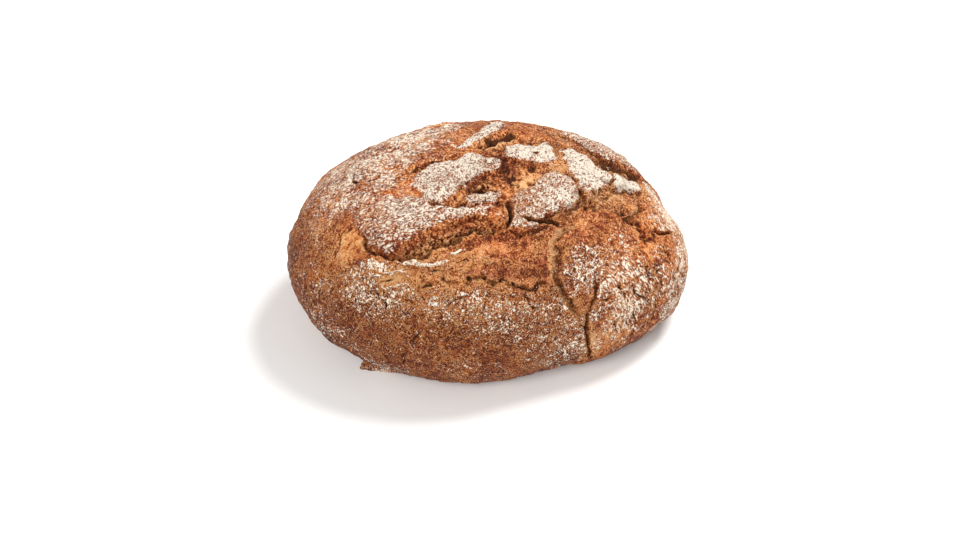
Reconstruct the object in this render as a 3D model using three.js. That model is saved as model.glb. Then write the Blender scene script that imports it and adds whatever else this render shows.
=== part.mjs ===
// A farmhouse rye loaf, baked free-standing on the hearth: an oval dome whose crust has torn open over the
// crown, leaving floured plates of the first skin, and has split along the front.
//
// Millimetres. +X runs along the loaf, +Z is up, the loaf faces -Y, and the origin is the middle of its base.
//
// Places on the crust are given as [east, north]: how far a point lies from the crown, measured along the
// crust itself towards +X and towards +Y. Heights of the relief are measured square to the smooth crust.

import * as THREE from "three";
import { mergeVertices } from "three/addons/utils/BufferGeometryUtils.js";

// ---------------------------------------------------------------- the loaf's form

const LENGTH = 243; // over the bulge of the sides, along X
const WIDTH = 191; // over the bulge of the sides, along Y
const HEIGHT = 102;
const WIDEST_AT = 38; // height of the fullest line round the loaf
const FOOT = 0.74; // radius of the flat base, as a share of the fullest radius
const CROWN_LEAN = -11; // how far the crown leans along X
const DOME_POWER = 2.2; // 2 is an ellipsoid, more is squarer

// How the plan departs from an ellipse: [lobes round the loaf, cosine share, sine share].
const PLAN_LOBES = [
  [2, -0.007, 0.042],
  [3, 0.012, -0.019],
  [4, 0.003, -0.012],
  [5, 0.001, -0.012],
];

// Broad swellings and hollows of the crust: where, how wide, how high.
const SWELLS = [
  { at: [154, -24], radius: 40, height: 2.3 },
  { at: [-138, -15], radius: 30, height: 1.7 },
  { at: [-90, 30], radius: 28, height: 3 },
  { at: [-48, 46], radius: 16, height: 1.4 },
  { at: [-22, 66], radius: 14, height: 1.7 },
  { at: [86, 48], radius: 22, height: 2.1 },
  { at: [122, 20], radius: 18, height: -1.4 },
  { at: [114, -118], radius: 28, height: 2.4 },
  { at: [-142, -94], radius: 26, height: 1.7 },
  { at: [-20, -35], radius: 26, height: 1.2 },
  { at: [30, -60], radius: 22, height: 1.4 },
  { at: [12, -34], radius: 6, height: 2.2 },
];

// The sheet of base crust that sticks out past the foot at the front left.
const FLAP = { from: -142, to: -112, reach: 10, thickness: 5 }; // azimuths in degrees, sizes in mm

// ---------------------------------------------------------------- plates, tears and cracks

const PLATE_LIFT = 1.6; // a plate swells this far above its own edge
const TEAR_DEPTH = 4.6; // the torn crumb lies this far below the plates
const BAND_DEPTH = 1.4; // the stretched skin below the cap lies this far below the crust

// Islands of floured first skin.
const PLATES = {
  crown: [
    [-26, -13], [-24, -2], [-20, 5], [-5, 15], [1, 17], [12, 9], [11, 2], [0, -8], [-7, -22], [-13, -25],
    [-21, -24],
  ],
  apron: [
    [-62, -20], [-43, -17], [-34, -17], [-19, -26], [-5, -25], [8, -26], [8, -31], [-14, -37], [-31, -45],
    [-47, -52], [-58, -38],
  ],
  tongue: [[-1, -22], [4, -17], [12, -17], [13, -21], [0, -25]],
  back: [[16, 16], [21, 21], [32, 23], [35, 29], [42, 15], [29, 7], [17, 11]],
  shield: [
    [20, -20], [21, -13], [28, -9], [39, 2], [48, 0], [51, -16], [37, -28], [28, -40], [20, -39], [19, -31],
  ],
  shoulder: [[43, 25], [49, 29], [57, 26], [69, 14], [69, 6], [61, -7], [53, -9], [45, 9]],
  wing: [[70, 12], [78, 18], [85, 16], [86, 10], [78, 2], [69, 1]],
  bulb: [[50, -9], [57, -6], [58, -10], [55, -15]],
  strip: [[-11, 22], [-4, 30], [3, 40], [6, 57], [13, 65], [15, 43], [13, 33], [2, 25]],
  ledge: [[45, 47], [56, 62], [78, 52], [94, 40], [84, 34], [66, 37], [50, 38]],
};

// The torn crumb over the crown, which shows between the plates.
const TEAR = [
  [-44, -13], [-38, -8], [-33, 4], [-14, 11], [9, 38], [19, 39], [25, 32], [42, 35], [63, 32], [81, 29],
  [94, 27], [92, 8], [83, -15], [65, -18], [48, -24], [29, -39], [7, -44], [-6, -47], [-17, -52], [-30, -57],
  [-48, -54], [-36, -20],
];

// The band of stretched skin that opened between the cap and the front of the loaf.
const BAND = [
  [-54, -52], [-36, -58], [-12, -51], [13, -44], [37, -36], [53, -20], [71, -13], [67, -36], [45, -48],
  [44, -71], [13, -76], [-20, -75], [-47, -71],
];

// Splits in the crust. The floor of each follows its route. Going along the route, "left" and "right" are
// the widths of the wall on either hand.
const CRACKS = {
  underCap: {
    route: [[-64, -29], [-57, -44], [-49, -54], [-36, -58], [-17, -52], [0, -44], [19, -42]],
    depth: 7, left: 11, right: 3,
  },
  underShield: {
    route: [[18, -42], [36, -34], [47, -24], [57, -19], [70, -3], [89, 5]],
    depth: 6, left: 4.5, right: 3,
  },
  besideShield: { route: [[18, -24], [18, -32], [19, -42]], depth: 6, left: 3, right: 4 },
  front: { route: [[-31, -73], [-2, -73], [20, -75], [46, -73]], depth: 3.6, left: 4.4, right: 2.6 },
  cleft: { route: [[42, -41], [44, -55], [47, -70], [57, -82], [67, -89]], depth: 5, left: 3, right: 4.2 },
  cleftFoot: { route: [[70, -84], [76, -93], [88, -109], [103, -118]], depth: 4.4, left: 3.2, right: 3.2 },
  cleftFork: { route: [[66, -64], [72, -75], [71, -86]], depth: 2.6, left: 2.8, right: 2.8 },
  underLedge: { route: [[45, 36], [60, 35], [67, 25], [82, 26], [93, 21]], depth: 6.5, left: 4, right: 3 },
  topPit: { route: [[2, 15], [6, 24], [12, 30], [21, 34]], depth: 6.5, left: 5, right: 3 },
  midPit: { route: [[-6, -22], [-2, -15], [8, -11], [16, -10]], depth: 7, left: 6, right: 3 },
  crownTop: { route: [[-32, -1], [-21, 7], [-5, 14]], depth: 3.2, left: 3, right: 2.6 },
  crownFoot: { route: [[-22, -25], [-9, -25], [-5, -17]], depth: 3.8, left: 3, right: 2.6 },
  shoulderGap: { route: [[50, -5], [51, -13], [55, -19]], depth: 4.5, left: 2.8, right: 2.8 },
  wingGap: { route: [[61, 2], [66, 3], [71, 7]], depth: 4, left: 2.8, right: 2.8 },
  rightTear: { route: [[85, 3], [83, -15], [80, -21], [91, -26], [101, -29]], depth: 3.4, left: 3.4, right: 3 },
  rightNick: { route: [[98, -19], [106, -18], [119, -10]], depth: 3, left: 3, right: 3 },
  backSplit: { route: [[-58, 46], [-24, 58], [4, 84], [44, 98]], depth: 4.2, left: 3, right: 4.4 },
  backFork: { route: [[-2, 78], [-20, 96], [-34, 122]], depth: 3, left: 3, right: 3 },
  leftSplit: { route: [[-112, 30], [-98, 58], [-76, 84]], depth: 3, left: 3, right: 3 },
};

// ---------------------------------------------------------------- the mesh's fineness

const START_DETAIL = 6; // of the icosahedron that the loaf grows from
const CRACK_EDGE = 3.8; // longest edge in a crack
const TORN_EDGE = 4.6; // and in the torn crumb
const CRUST_EDGE = 10; // and on whole crust
const BASE_EDGE = 20; // and on the flat base
const MOST_ROUNDS = 7; // of edge splitting

// ---------------------------------------------------------------- small helpers

const { PI, sin, cos, atan2, hypot, min, max } = Math;
const QUARTER = PI / 2;

// 0 up to low, 1 from high, smooth between.
const ramp = (value, low, high) => THREE.MathUtils.smoothstep(value, low, high);

// An uneven ripple from about -1 to 1, with waves about `wave` mm long.
function ripple(x, y, wave, phase) {
  const u = (2 * PI * x) / wave;
  const v = (2 * PI * y) / wave;
  const along = sin(u + 1.3 * sin(0.7 * v + phase) + phase);
  const across = sin(0.83 * v - 1.1 * sin(0.6 * u - 2 * phase) + 2.1 * phase);
  return (along + across) / 2;
}

// How far [x, y] lies inside a closed outline, negative outside it.
function inside(outline, x, y) {
  let nearest = Infinity;
  let within = false;
  outline.forEach(([x1, y1], i) => {
    const [x0, y0] = outline[(i || outline.length) - 1];
    const [dx, dy] = [x1 - x0, y1 - y0];
    const along = THREE.MathUtils.clamp(((x - x0) * dx + (y - y0) * dy) / (dx * dx + dy * dy), 0, 1);
    nearest = min(nearest, hypot(x - x0 - along * dx, y - y0 - along * dy));
    if (y0 > y !== y1 > y && x < x0 + (dx * (y - y0)) / dy) within = !within;
  });
  return within ? nearest : -nearest;
}

// ---------------------------------------------------------------- the smooth loaf

// Radius of the plan at its fullest line.
function planRadius(azimuth) {
  const oval = 1 / hypot(cos(azimuth) / (LENGTH / 2), sin(azimuth) / (WIDTH / 2));
  const lobes = PLAN_LOBES.map(([n, c, s]) => c * cos(n * azimuth) + s * sin(n * azimuth));
  return oval * (1 + lobes.reduce((sum, share) => sum + share));
}

// A direction from the middle of a unit sphere as {azimuth, fall}, where fall runs from 0 at the crown
// through 1 at the fullest line and 2 at the edge of the base to 3 at the middle of the base.
function placeOf(direction) {
  const turn = Math.acos(THREE.MathUtils.clamp(direction.z, -1, 1)) / QUARTER;
  const fall = turn <= 1 ? turn : 1 + 2 * (turn - 1);
  return { azimuth: atan2(direction.y, direction.x), fall };
}

function smoothPoint({ azimuth, fall }) {
  const fullest = planRadius(azimuth);
  let radius, z;
  if (fall <= 1) {
    const [s, c] = [sin(fall * QUARTER), cos(fall * QUARTER)];
    const swell = (s ** DOME_POWER + max(c, 0) ** DOME_POWER) ** (-1 / DOME_POWER);
    radius = fullest * s * swell;
    z = WIDEST_AT + (HEIGHT - WIDEST_AT) * max(c, 0) * swell;
  } else if (fall <= 2) {
    const turn = (fall - 1) * QUARTER;
    radius = fullest * (FOOT + (1 - FOOT) * cos(turn));
    z = WIDEST_AT * (1 - sin(turn));
  } else {
    radius = fullest * FOOT * (3 - fall);
    z = 0;
  }
  const lean = (CROWN_LEAN * z) / HEIGHT;
  return new THREE.Vector3(radius * cos(azimuth) + lean, radius * sin(azimuth), z);
}

// [east, north] of a place, from the arcs that the profile makes above and below the fullest line.
function crustPlace({ azimuth, fall }) {
  const fullest = planRadius(azimuth);
  const domeArc = QUARTER * hypot(fullest, HEIGHT - WIDEST_AT) * Math.SQRT1_2;
  const tuckArc = QUARTER * hypot((1 - FOOT) * fullest, WIDEST_AT) * Math.SQRT1_2;
  const distance = fall <= 1 ? fall * domeArc : domeArc + (min(fall, 2) - 1) * tuckArc;
  return [distance * cos(azimuth), distance * sin(azimuth)];
}

// The outward normal of the smooth crust, from two short steps across the unit sphere.
function smoothNormal(direction) {
  const step = 0.004;
  const aside = Math.abs(direction.z) < 0.9 ? new THREE.Vector3(0, 0, 1) : new THREE.Vector3(1, 0, 0);
  const first = aside.clone().cross(direction).normalize();
  const second = direction.clone().cross(first);
  const slope = (tangent) => {
    const ahead = direction.clone().addScaledVector(tangent, step).normalize();
    const behind = direction.clone().addScaledVector(tangent, -step).normalize();
    return smoothPoint(placeOf(ahead)).sub(smoothPoint(placeOf(behind)));
  };
  return slope(first).cross(slope(second)).normalize();
}

// ---------------------------------------------------------------- the relief

// A crack's route as a smooth line, with the share of the route done at each point.
function routeOf(points) {
  const curve = new THREE.CatmullRomCurve3(points.map(([x, y]) => new THREE.Vector3(x, y, 0)));
  return curve.getSpacedPoints(4 * points.length);
}

const cracks = Object.values(CRACKS).map((crack) => ({ ...crack, line: routeOf(crack.route) }));

// Depth of one crack at [x, y]: full on its route, none past its walls, and tapering at both ends. With it
// goes the distance past the nearer wall, which is negative inside the crack.
function crackAt({ line, depth, left, right }, x, y) {
  let best = { distance: Infinity, side: 0, share: 0 };
  for (let i = 1; i < line.length; i += 1) {
    const [dx, dy] = [line[i].x - line[i - 1].x, line[i].y - line[i - 1].y];
    const [px, py] = [x - line[i - 1].x, y - line[i - 1].y];
    const along = THREE.MathUtils.clamp((px * dx + py * dy) / (dx * dx + dy * dy), 0, 1);
    const distance = hypot(px - along * dx, py - along * dy);
    if (distance < best.distance) {
      best = { distance, side: dx * py - dy * px, share: (i - 1 + along) / (line.length - 1) };
    }
  }
  const taper = ramp(best.share, -0.05, 0.15) * ramp(1 - best.share, -0.05, 0.15);
  const width = (best.side > 0 ? left : right) * (0.45 + 0.55 * taper);
  return { depth: depth * taper * (1 - ramp(best.distance, 0.12 * width, width)), past: best.distance - width };
}

// The crust at [east, north]: its height over the smooth loaf, and the longest edge that can follow it.
function crustAt([east, north]) {
  const x = east + 1.3 * ripple(east, north, 19, 1) + 0.5 * ripple(east, north, 7, 2);
  const y = north + 1.3 * ripple(east, north, 19, 5) + 0.5 * ripple(east, north, 7, 4);
  const plate = max(...Object.values(PLATES).map((outline) => inside(outline, x, y)));
  const tear = inside(TEAR, x, y);
  const band = inside(BAND, x, y);
  const offPlate = ramp(-plate, -0.6, 2.4);

  const tornDepth = ramp(tear, -0.5, 4) * offPlate * (TEAR_DEPTH + 1.3 * ripple(east, north, 9, 3));
  const bandDepth = ramp(band, -1, 6) * offPlate * (BAND_DEPTH + 0.6 * ripple(east, north, 13, 6));
  const splits = cracks.map((crack) => crackAt(crack, x, y));
  const splitDepth = max(...splits.map(({ depth }) => depth));
  const swell = SWELLS.reduce((sum, { at, radius, height }) => {
    const share = hypot(east - at[0], north - at[1]) / radius;
    return sum + height * Math.exp(-share * share);
  }, 0);
  const unevenness = 0.5 * ripple(east, north, 33, 7) + 0.25 * ripple(east, north, 14, 8);
  const height = swell + unevenness + PLATE_LIFT * ramp(plate, -1, 5) - max(tornDepth, bandDepth, splitDepth);
  const isSplit = splits.some(({ past }) => past < 1);
  const isTorn = tear > -1 && plate < 2;
  const edge = isSplit ? CRACK_EDGE : isTorn ? TORN_EDGE : CRUST_EDGE;
  return { height, edge };
}

// How far the flap pushes a point of the foot outwards.
function flapReach({ azimuth, fall }, z) {
  if (fall < 1.2 || z > 3 * FLAP.thickness) return 0;
  const degrees = THREE.MathUtils.radToDeg(azimuth);
  const share = THREE.MathUtils.clamp((degrees - FLAP.from) / (FLAP.to - FLAP.from), 0, 1);
  const across = ramp(share, 0, 0.08) * (1 - share) ** 2;
  const edgeward = fall > 2 ? ramp(3 - fall, 0.75, 1) : 1 - ramp(z, FLAP.thickness * 0.6, FLAP.thickness * 2.4);
  return FLAP.reach * across * edgeward;
}

// The crust's relief fades out under the loaf, so that the base stays flat.
function crustPoint(direction) {
  const place = placeOf(direction);
  const point = smoothPoint(place);
  if (place.fall < 2) {
    const fade = 1 - ramp(place.fall, 1.45, 1.98);
    point.addScaledVector(smoothNormal(direction), fade * crustAt(crustPlace(place)).height);
  }
  const reach = flapReach(place, point.z);
  point.x += reach * cos(place.azimuth);
  point.y += reach * sin(place.azimuth);
  return point;
}

function longestEdge(direction) {
  const place = placeOf(direction);
  if (flapReach(place, smoothPoint(place).z) > 1) return TORN_EDGE;
  if (place.fall > 2.05) return BASE_EDGE;
  return place.fall > 1.9 ? CRUST_EDGE : crustAt(crustPlace(place)).edge;
}

// ---------------------------------------------------------------- the mesh

// Splits every edge that is longer than its place allows. Neighbours share the new vertices, so the mesh
// stays closed.
function splitLongEdges({ directions, points, faces }) {
  const halves = new Map();
  const halfway = (i, j) => {
    const key = min(i, j) * 1e6 + max(i, j);
    if (!halves.has(key)) {
      const direction = directions[i].clone().add(directions[j]).normalize();
      const isLong = points[i].distanceTo(points[j]) > longestEdge(direction);
      halves.set(key, isLong ? directions.push(direction) - 1 : -1);
      if (isLong) points.push(crustPoint(direction));
    }
    return halves.get(key);
  };
  const made = [];
  for (const [a, b, c] of faces) {
    const mids = [halfway(a, b), halfway(b, c), halfway(c, a)];
    const count = mids.filter((mid) => mid >= 0).length;
    // Turn the face until its first edge is split, and its second too where two are.
    let [p, q, r] = [a, b, c];
    const isReady = () => mids[0] >= 0 && (count !== 2 || mids[1] >= 0);
    while (count && !isReady()) {
      [p, q, r] = [q, r, p];
      mids.push(mids.shift());
    }
    const [pq, qr, rp] = mids;
    if (count === 0) made.push([p, q, r]);
    if (count === 1) made.push([p, pq, r], [pq, q, r]);
    if (count === 2) {
      made.push([pq, q, qr]);
      const cutsFromP = points[p].distanceTo(points[qr]) < points[pq].distanceTo(points[r]);
      made.push(...(cutsFromP ? [[p, pq, qr], [p, qr, r]] : [[p, pq, r], [pq, qr, r]]));
    }
    if (count === 3) made.push([p, pq, rp], [pq, q, qr], [rp, qr, r], [pq, qr, rp]);
  }
  return { directions, points, faces: made };
}

function loafGeometry() {
  const ball = new THREE.IcosahedronGeometry(1, START_DETAIL);
  ball.deleteAttribute("normal");
  ball.deleteAttribute("uv");
  const merged = mergeVertices(ball, 1e-4);
  const corner = merged.getAttribute("position");
  const directions = Array.from({ length: corner.count }, (_, i) =>
    new THREE.Vector3().fromBufferAttribute(corner, i).normalize(),
  );
  const faces = [];
  for (let i = 0; i < merged.index.count; i += 3) {
    faces.push([0, 1, 2].map((k) => merged.index.getX(i + k)));
  }
  let mesh = { directions, points: directions.map(crustPoint), faces };
  for (let round = 0; round < MOST_ROUNDS; round += 1) {
    const before = mesh.faces.length;
    mesh = splitLongEdges(mesh);
    if (mesh.faces.length === before) break;
  }
  const geometry = new THREE.BufferGeometry().setFromPoints(mesh.points);
  geometry.setIndex(mesh.faces.flat());
  return geometry;
}

// ---------------------------------------------------------------- the part

function loaf() {
  const geometry = loafGeometry();
  geometry.computeBoundingBox();
  const middle = geometry.boundingBox.getCenter(new THREE.Vector3());
  geometry.translate(-middle.x, -middle.y, -geometry.boundingBox.min.z);
  geometry.computeVertexNormals();
  const crust = new THREE.MeshStandardMaterial({ color: 0xa5714a, roughness: 0.85, metalness: 0 });
  const mesh = new THREE.Mesh(geometry, crust);
  mesh.name = "loaf";
  return mesh;
}

const part = new THREE.Group();
part.add(loaf());

export default part;
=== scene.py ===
"""The looks of a hearth-baked rye loaf: its torn and cracked crust, its flour, and the stage that it stands on."""

import math
from itertools import product
from types import SimpleNamespace

import bpy
import numpy as np
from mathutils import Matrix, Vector


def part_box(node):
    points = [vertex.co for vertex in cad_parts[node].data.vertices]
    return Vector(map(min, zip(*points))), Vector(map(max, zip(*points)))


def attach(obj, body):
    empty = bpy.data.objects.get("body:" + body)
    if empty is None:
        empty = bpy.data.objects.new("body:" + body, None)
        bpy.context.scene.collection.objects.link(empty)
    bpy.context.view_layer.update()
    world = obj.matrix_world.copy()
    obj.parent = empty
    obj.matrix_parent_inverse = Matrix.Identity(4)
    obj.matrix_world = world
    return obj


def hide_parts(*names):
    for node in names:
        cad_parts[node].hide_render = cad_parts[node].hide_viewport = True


bl_info = {
    "name": "Rye Loaf",
    "version": (1, 0, 0),
    "blender": (4, 5, 0),
    "location": "3D View > Sidebar > Rye Loaf",
    "description": "Bakes a rye loaf with a torn, floured crust",
    "category": "Add Mesh",
}

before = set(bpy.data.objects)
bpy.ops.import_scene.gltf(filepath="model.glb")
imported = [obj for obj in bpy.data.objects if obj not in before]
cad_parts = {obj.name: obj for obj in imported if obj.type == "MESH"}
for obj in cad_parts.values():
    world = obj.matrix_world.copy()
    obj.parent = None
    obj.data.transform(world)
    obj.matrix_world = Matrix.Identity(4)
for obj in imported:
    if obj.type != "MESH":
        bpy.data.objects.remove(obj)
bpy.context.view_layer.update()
LOAF_LOW, LOAF_HIGH = (np.array(corner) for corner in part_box("loaf"))

MM = 0.001  # the crust is worked out in millimetres, and Blender's unit is the metre
FAR = 99.0  # millimetres, past the reach of any mark on the crust
SPLIT_REACH, OUTLINE_REACH, THIN_REACH = 15, 14, 5  # how far from a mark its distance is worked out
FULLEST, BASE_EDGE, BASE_MIDDLE = 1, 2, 3  # the fall, down the side and in under the loaf, which starts at 0

# Painted shade: the crust's colour is darkened where it faces the fill light, at the front left, and less where it
# faces the key light, up and to the back right.
TOWARDS_FILL_LIGHT = np.array((-0.405, -0.752, 0.52))
TOWARDS_KEY_LIGHT = np.array((0.404, 0.34, 0.85))

# ------------------------------------------------------------------------------------ places on the crust
# A place is [east, north]: how far it lies from the crown, along the crust, towards +X and towards +Y.

# How the plan departs from an ellipse: lobes round the loaf, cosine share, sine share.
PLAN_LOBES = ((2, -0.007, 0.042), (3, 0.012, -0.019), (4, 0.003, -0.012), (5, 0.001, -0.012))

# Broad swellings and hollows: place, radius, height.
SWELLS = (
    ((154, -24), 40, 2.3),
    ((-138, -15), 30, 1.7),
    ((-90, 30), 28, 3.0),
    ((-48, 46), 16, 1.4),
    ((-22, 66), 14, 1.7),
    ((86, 48), 22, 2.1),
    ((122, 20), 18, -1.4),
    ((114, -118), 28, 2.4),
    ((-142, -94), 26, 1.7),
    ((-20, -35), 26, 1.2),
    ((30, -60), 22, 1.4),
    ((12, -34), 6, 1.6),
    ((78, 33), 9, 1.2),
)

# Islands of floured first skin.
PLATES = {
    "crown": (
        (-31, -9), (-27, -1), (-22, 5), (-14, 9), (-7, 14), (-1, 17), (3, 14), (7, 12), (13, 8), (13, 2),
        (8, -2), (2, -7), (-4, -10), (-8, -14), (-11, -19), (-14, -24), (-21, -25), (-26, -21), (-27, -15),
    ),
    "apron": (
        (-63, -22), (-54, -18), (-43, -17), (-34, -17), (-26, -20), (-19, -24), (-13, -25.5), (-6, -25.5),
        (0, -27.3), (9, -27.5), (8, -32), (-3, -34), (-14, -37), (-23, -41), (-31, -45), (-40, -50), (-47, -52),
        (-54, -46), (-58, -38), (-62, -29),
    ),
    "tongue": ((-4, -22.5), (1, -18), (6, -15.5), (14, -16.5), (14.5, -23), (8, -26), (3, -27), (-3, -26)),
    "back": (
        (13, 16.5), (16, 21.5), (24, 24.5), (31, 26), (35, 30), (39, 26), (42, 15), (37, 10), (29, 7), (23, 10),
        (15, 12),
    ),
    "shield": (
        (20, -20), (21, -13), (28, -9), (31, -3), (39, 2), (48, 0), (50, -6), (51, -16), (46, -22),
        (39, -28), (33, -31), (28, -32.5), (32, -34.5), (32, -38.5), (25, -41), (18, -40.5), (18, -34), (20, -27),
    ),
    "shoulder": (
        (43, 25), (49, 29), (57, 26), (64, 16), (69, 14), (69, 6), (65, -1), (61, -7), (53, -9), (51, -5),
        (49, 4), (45, 9), (45, 18),
    ),
    "wing": ((69, 13), (76, 15.5), (83, 16.5), (89, 16), (88, 9), (79, 2), (69, 1)),
    "bulb": ((50, -9), (57, -6), (58, -10), (55, -15), (52, -13)),
    "strip": (
        (-11, 22), (-4, 30), (3, 40), (6, 57), (13, 65), (15, 48), (13, 39), (9, 36), (5, 32), (2, 25), (-4, 20),
    ),
    "ledge": (
        (44, 50), (50, 46.5), (55, 43), (60, 38), (64, 32.5), (68, 28.5), (74, 27.5), (82, 30), (90, 32), (96, 33),
        (95, 40), (86, 50), (76, 56), (66, 62), (56, 65), (46, 63),
    ),
}

# How much of each plate the flour covers.
PLATE_COVER = {
    "crown": 0.62, "apron": 0.49, "tongue": 0.52, "back": 0.71, "shield": 0.53, "shoulder": 0.7, "wing": 0.74,
    "bulb": 0.38, "strip": 0.62, "ledge": 0.49,
}

# Where a plate's flour is rubbed thin: place, radii, turn and the share that it loses.
RUBBED = (
    ((-46, -47), (12, 6), 20, 0.12),
    ((-28, -46), (12, 4), 0, 0.3),
    ((-58, -30), (10, 12), 0, 0.35),
    ((20, -20), (6, 10), 10, 0.34),
    ((32, -12), (9, 7), 0, 0.12),
    ((-16, -8), (9, 7), 30, 0.24),
    ((8, 3), (5, 5), 0, 0.3),
    ((56, -8), (6, 5), 0, 0.25),
    ((43, -17), (6, 7), 0, -0.2),
)

# Where the torn crumb lies shallow: place and radius.
SHALLOW = (
    ((-36, -8), 16),
    ((-16, 13), 12),
    ((-4, 24), 10),
    ((62, 34), 10),
    ((88, -8), 13),
    ((-58, -20), 14),
    ((-44, -14), 12),
    ((41, 14), 9),
    ((13, -32), 7),
)

# Where the tear lays bare open crumb: place, radii, turn and how open it is.
CRUMB = (
    ((16, -30), (8, 11), 0, 1.0),
    ((24, -4), (9, 8), 20, 1.0),
    ((10, 26), (12, 8), 30, 0.9),
    ((40, 10), (4, 14), 20, 0.8),
    ((4, -12), (10, 5), 20, 0.7),
    ((-18, -47), (22, 3.5), 14, 0.9),
    ((4, -42), (14, 3), 0, 0.9),
    ((44, -25), (12, 3), 45, 0.8),
    ((58, -14), (14, 4), 50, 0.7),
    ((78, -5), (14, 8), -20, 0.6),
    ((48, -44), (3, 12), 0, 0.5),
    ((74, 24), (24, 5), -10, 0.7),
    ((28, 30), (14, 5), 0, 0.6),
)

# The torn crumb over the crown, and the band of stretched skin below the cap.
TEAR = (
    (-44, -13), (-38, -8), (-30, -1), (-33, 4), (-14, 11), (-4, 20), (9, 38), (19, 39), (25, 32), (42, 35),
    (55, 34), (63, 32), (81, 29), (94, 27), (92, 8), (83, -15), (74, -21), (65, -18), (54, -19), (48, -24),
    (36, -34), (29, -39), (20, -42), (7, -44), (-6, -47), (-17, -52), (-30, -57), (-48, -54), (-38, -51),
    (-22, -42), (-7, -34), (-17, -31), (-36, -20),
)
BAND = (
    (-38, -59), (-12, -51), (13, -44), (37, -36), (53, -20), (71, -13), (73, -21), (67, -36),
    (55, -44), (45, -48), (44, -71), (13, -76), (-20, -75), (-36, -70),
)

# Splits: route, depth, widths of the walls left and right of the route, and how far up the left wall
# the split's painted shade reaches.
SPLITS = {
    "cap_left": (
        ((-60, -35), (-58, -40), (-59, -44), (-56, -47), (-54, -51), (-50, -51), (-47, -54), (-42, -54.5), (-39, -57),
         (-34, -55), (-28, -56), (-22, -53)),
        2.6, 4.2, 1.6, 0.9,
    ),
    "under_cap": (
        ((-44, -54.5), (-36, -56), (-30, -55), (-23, -52), (-17, -50), (-12, -48), (-6, -45), (0, -43), (7, -42.5),
         (19, -41.5)),
        5.4, 9.0, 3.0, 1.3,
    ),
    "under_shield": (((17, -42), (23, -43), (29, -41.5), (34, -38), (37, -35.5)), 2.6, 2.2, 2.0, 0.7),
    "shield_side": (
        ((42, -33), (45, -27), (49, -22), (53, -19), (57, -19), (62, -11), (70, -3), (79, 2), (89, 5)),
        3.0, 3.6, 2.6, 0.9,
    ),
    "tab_gap": (((24, -32.5), (28, -33), (32, -32.5), (36, -32.5), (40, -33), (43, -35)), 4.4, 1.8, 1.9, 1.7),
    "beside_shield": (((18, -22), (18, -27), (18, -31), (17, -35), (16, -39)), 5.2, 1.7, 2.2, 1.9),
    "front": (((-20, -70), (-16, -72.5), (-11, -72)), 1.3, 1.4, 1.2, 0.7),
    "front_middle": (
        ((-9, -72), (-5, -73.5), (-2, -71), (2, -70), (5, -71), (8, -74), (12, -73)), 2.0, 2.2, 1.3, 0.9,
    ),
    "front_right": (
        ((9, -75), (14, -73), (19, -75), (25, -74), (30, -76), (35, -73), (43, -72)), 1.9, 2.3, 1.3, 0.9,
    ),
    "cleft": (
        ((51, -29), (47, -35), (44, -40), (42, -45), (44, -50), (43, -55), (45, -60), (44, -65), (48, -70), (51, -75),
         (57, -80), (60, -85), (67, -89)),
        3.2, 2.4, 4.0, 1.1,
    ),
    "cleft_foot": (((70, -84), (76, -93), (81, -102), (88, -109), (103, -118)), 4.4, 2.6, 2.6, 1.2),
    "cleft_fork": (((67, -63), (71, -70), (73, -77), (71, -86)), 2.4, 1.5, 1.6, 0.8),
    "under_ledge": (
        ((42, 46), (48, 44.5), (53, 41.5), (58, 36.5), (62, 31.5), (66, 27), (71, 24)), 3.6, 1.5, 2.2, 1.4,
    ),
    "ledge_mouth": (((64, 28), (68, 24.5), (74, 24), (81, 25.5), (89, 27), (97, 28)), 4.6, 2.2, 3.2, 1.7),
    "top_pit": (((3, 19), (5, 24), (8, 28), (12, 31), (16, 33.5), (20, 35.5)), 6.0, 4.0, 3.4, 1.5),
    "pit_roof": (((5, 26.5), (9, 31), (13, 33.5), (17, 35.5), (21, 37)), 4.0, 1.8, 3.2, 2.6),
    "mid_pit": (((-7, -20), (-3, -16), (1, -13.5), (6, -12.5), (10, -12)), 6.0, 6.2, 2.4, 1.7),
    "crown_top": (((-32, -1), (-27, 5), (-21, 7), (-14, 9), (-5, 14)), 3.2, 3.0, 2.0, 1.2),
    "crown_foot": (((-22, -25), (-15, -27), (-9, -25), (-5, -17)), 2.8, 2.4, 1.4, 1.2),
    "shoulder_gap": (((50, -5), (51, -13), (55, -19)), 4.5, 2.2, 2.2, 1.2),
    "wing_gap": (((61, 2), (66, 3), (71, 7)), 3.0, 2.4, 2.0, 1.2),
    "right_tear": (
        ((85, 3), (87, -6), (83, -15), (80, -21), (88, -22), (91, -26), (101, -29)), 2.8, 3.4, 3.0, 1.4,
    ),
    "right_nick": (((98, -19), (106, -18), (119, -10)), 3.0, 2.4, 2.2, 1.4),
    "back_split": (((-58, 46), (-24, 58), (4, 84), (44, 98)), 4.2, 3.0, 4.4, 1.2),
    "back_fork": (((-2, 78), (-20, 96), (-34, 122)), 3.0, 3.0, 3.0, 1.2),
    "left_split": (((-112, 30), (-98, 58), (-76, 84)), 3.0, 3.0, 3.0, 1.2),
}
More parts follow.
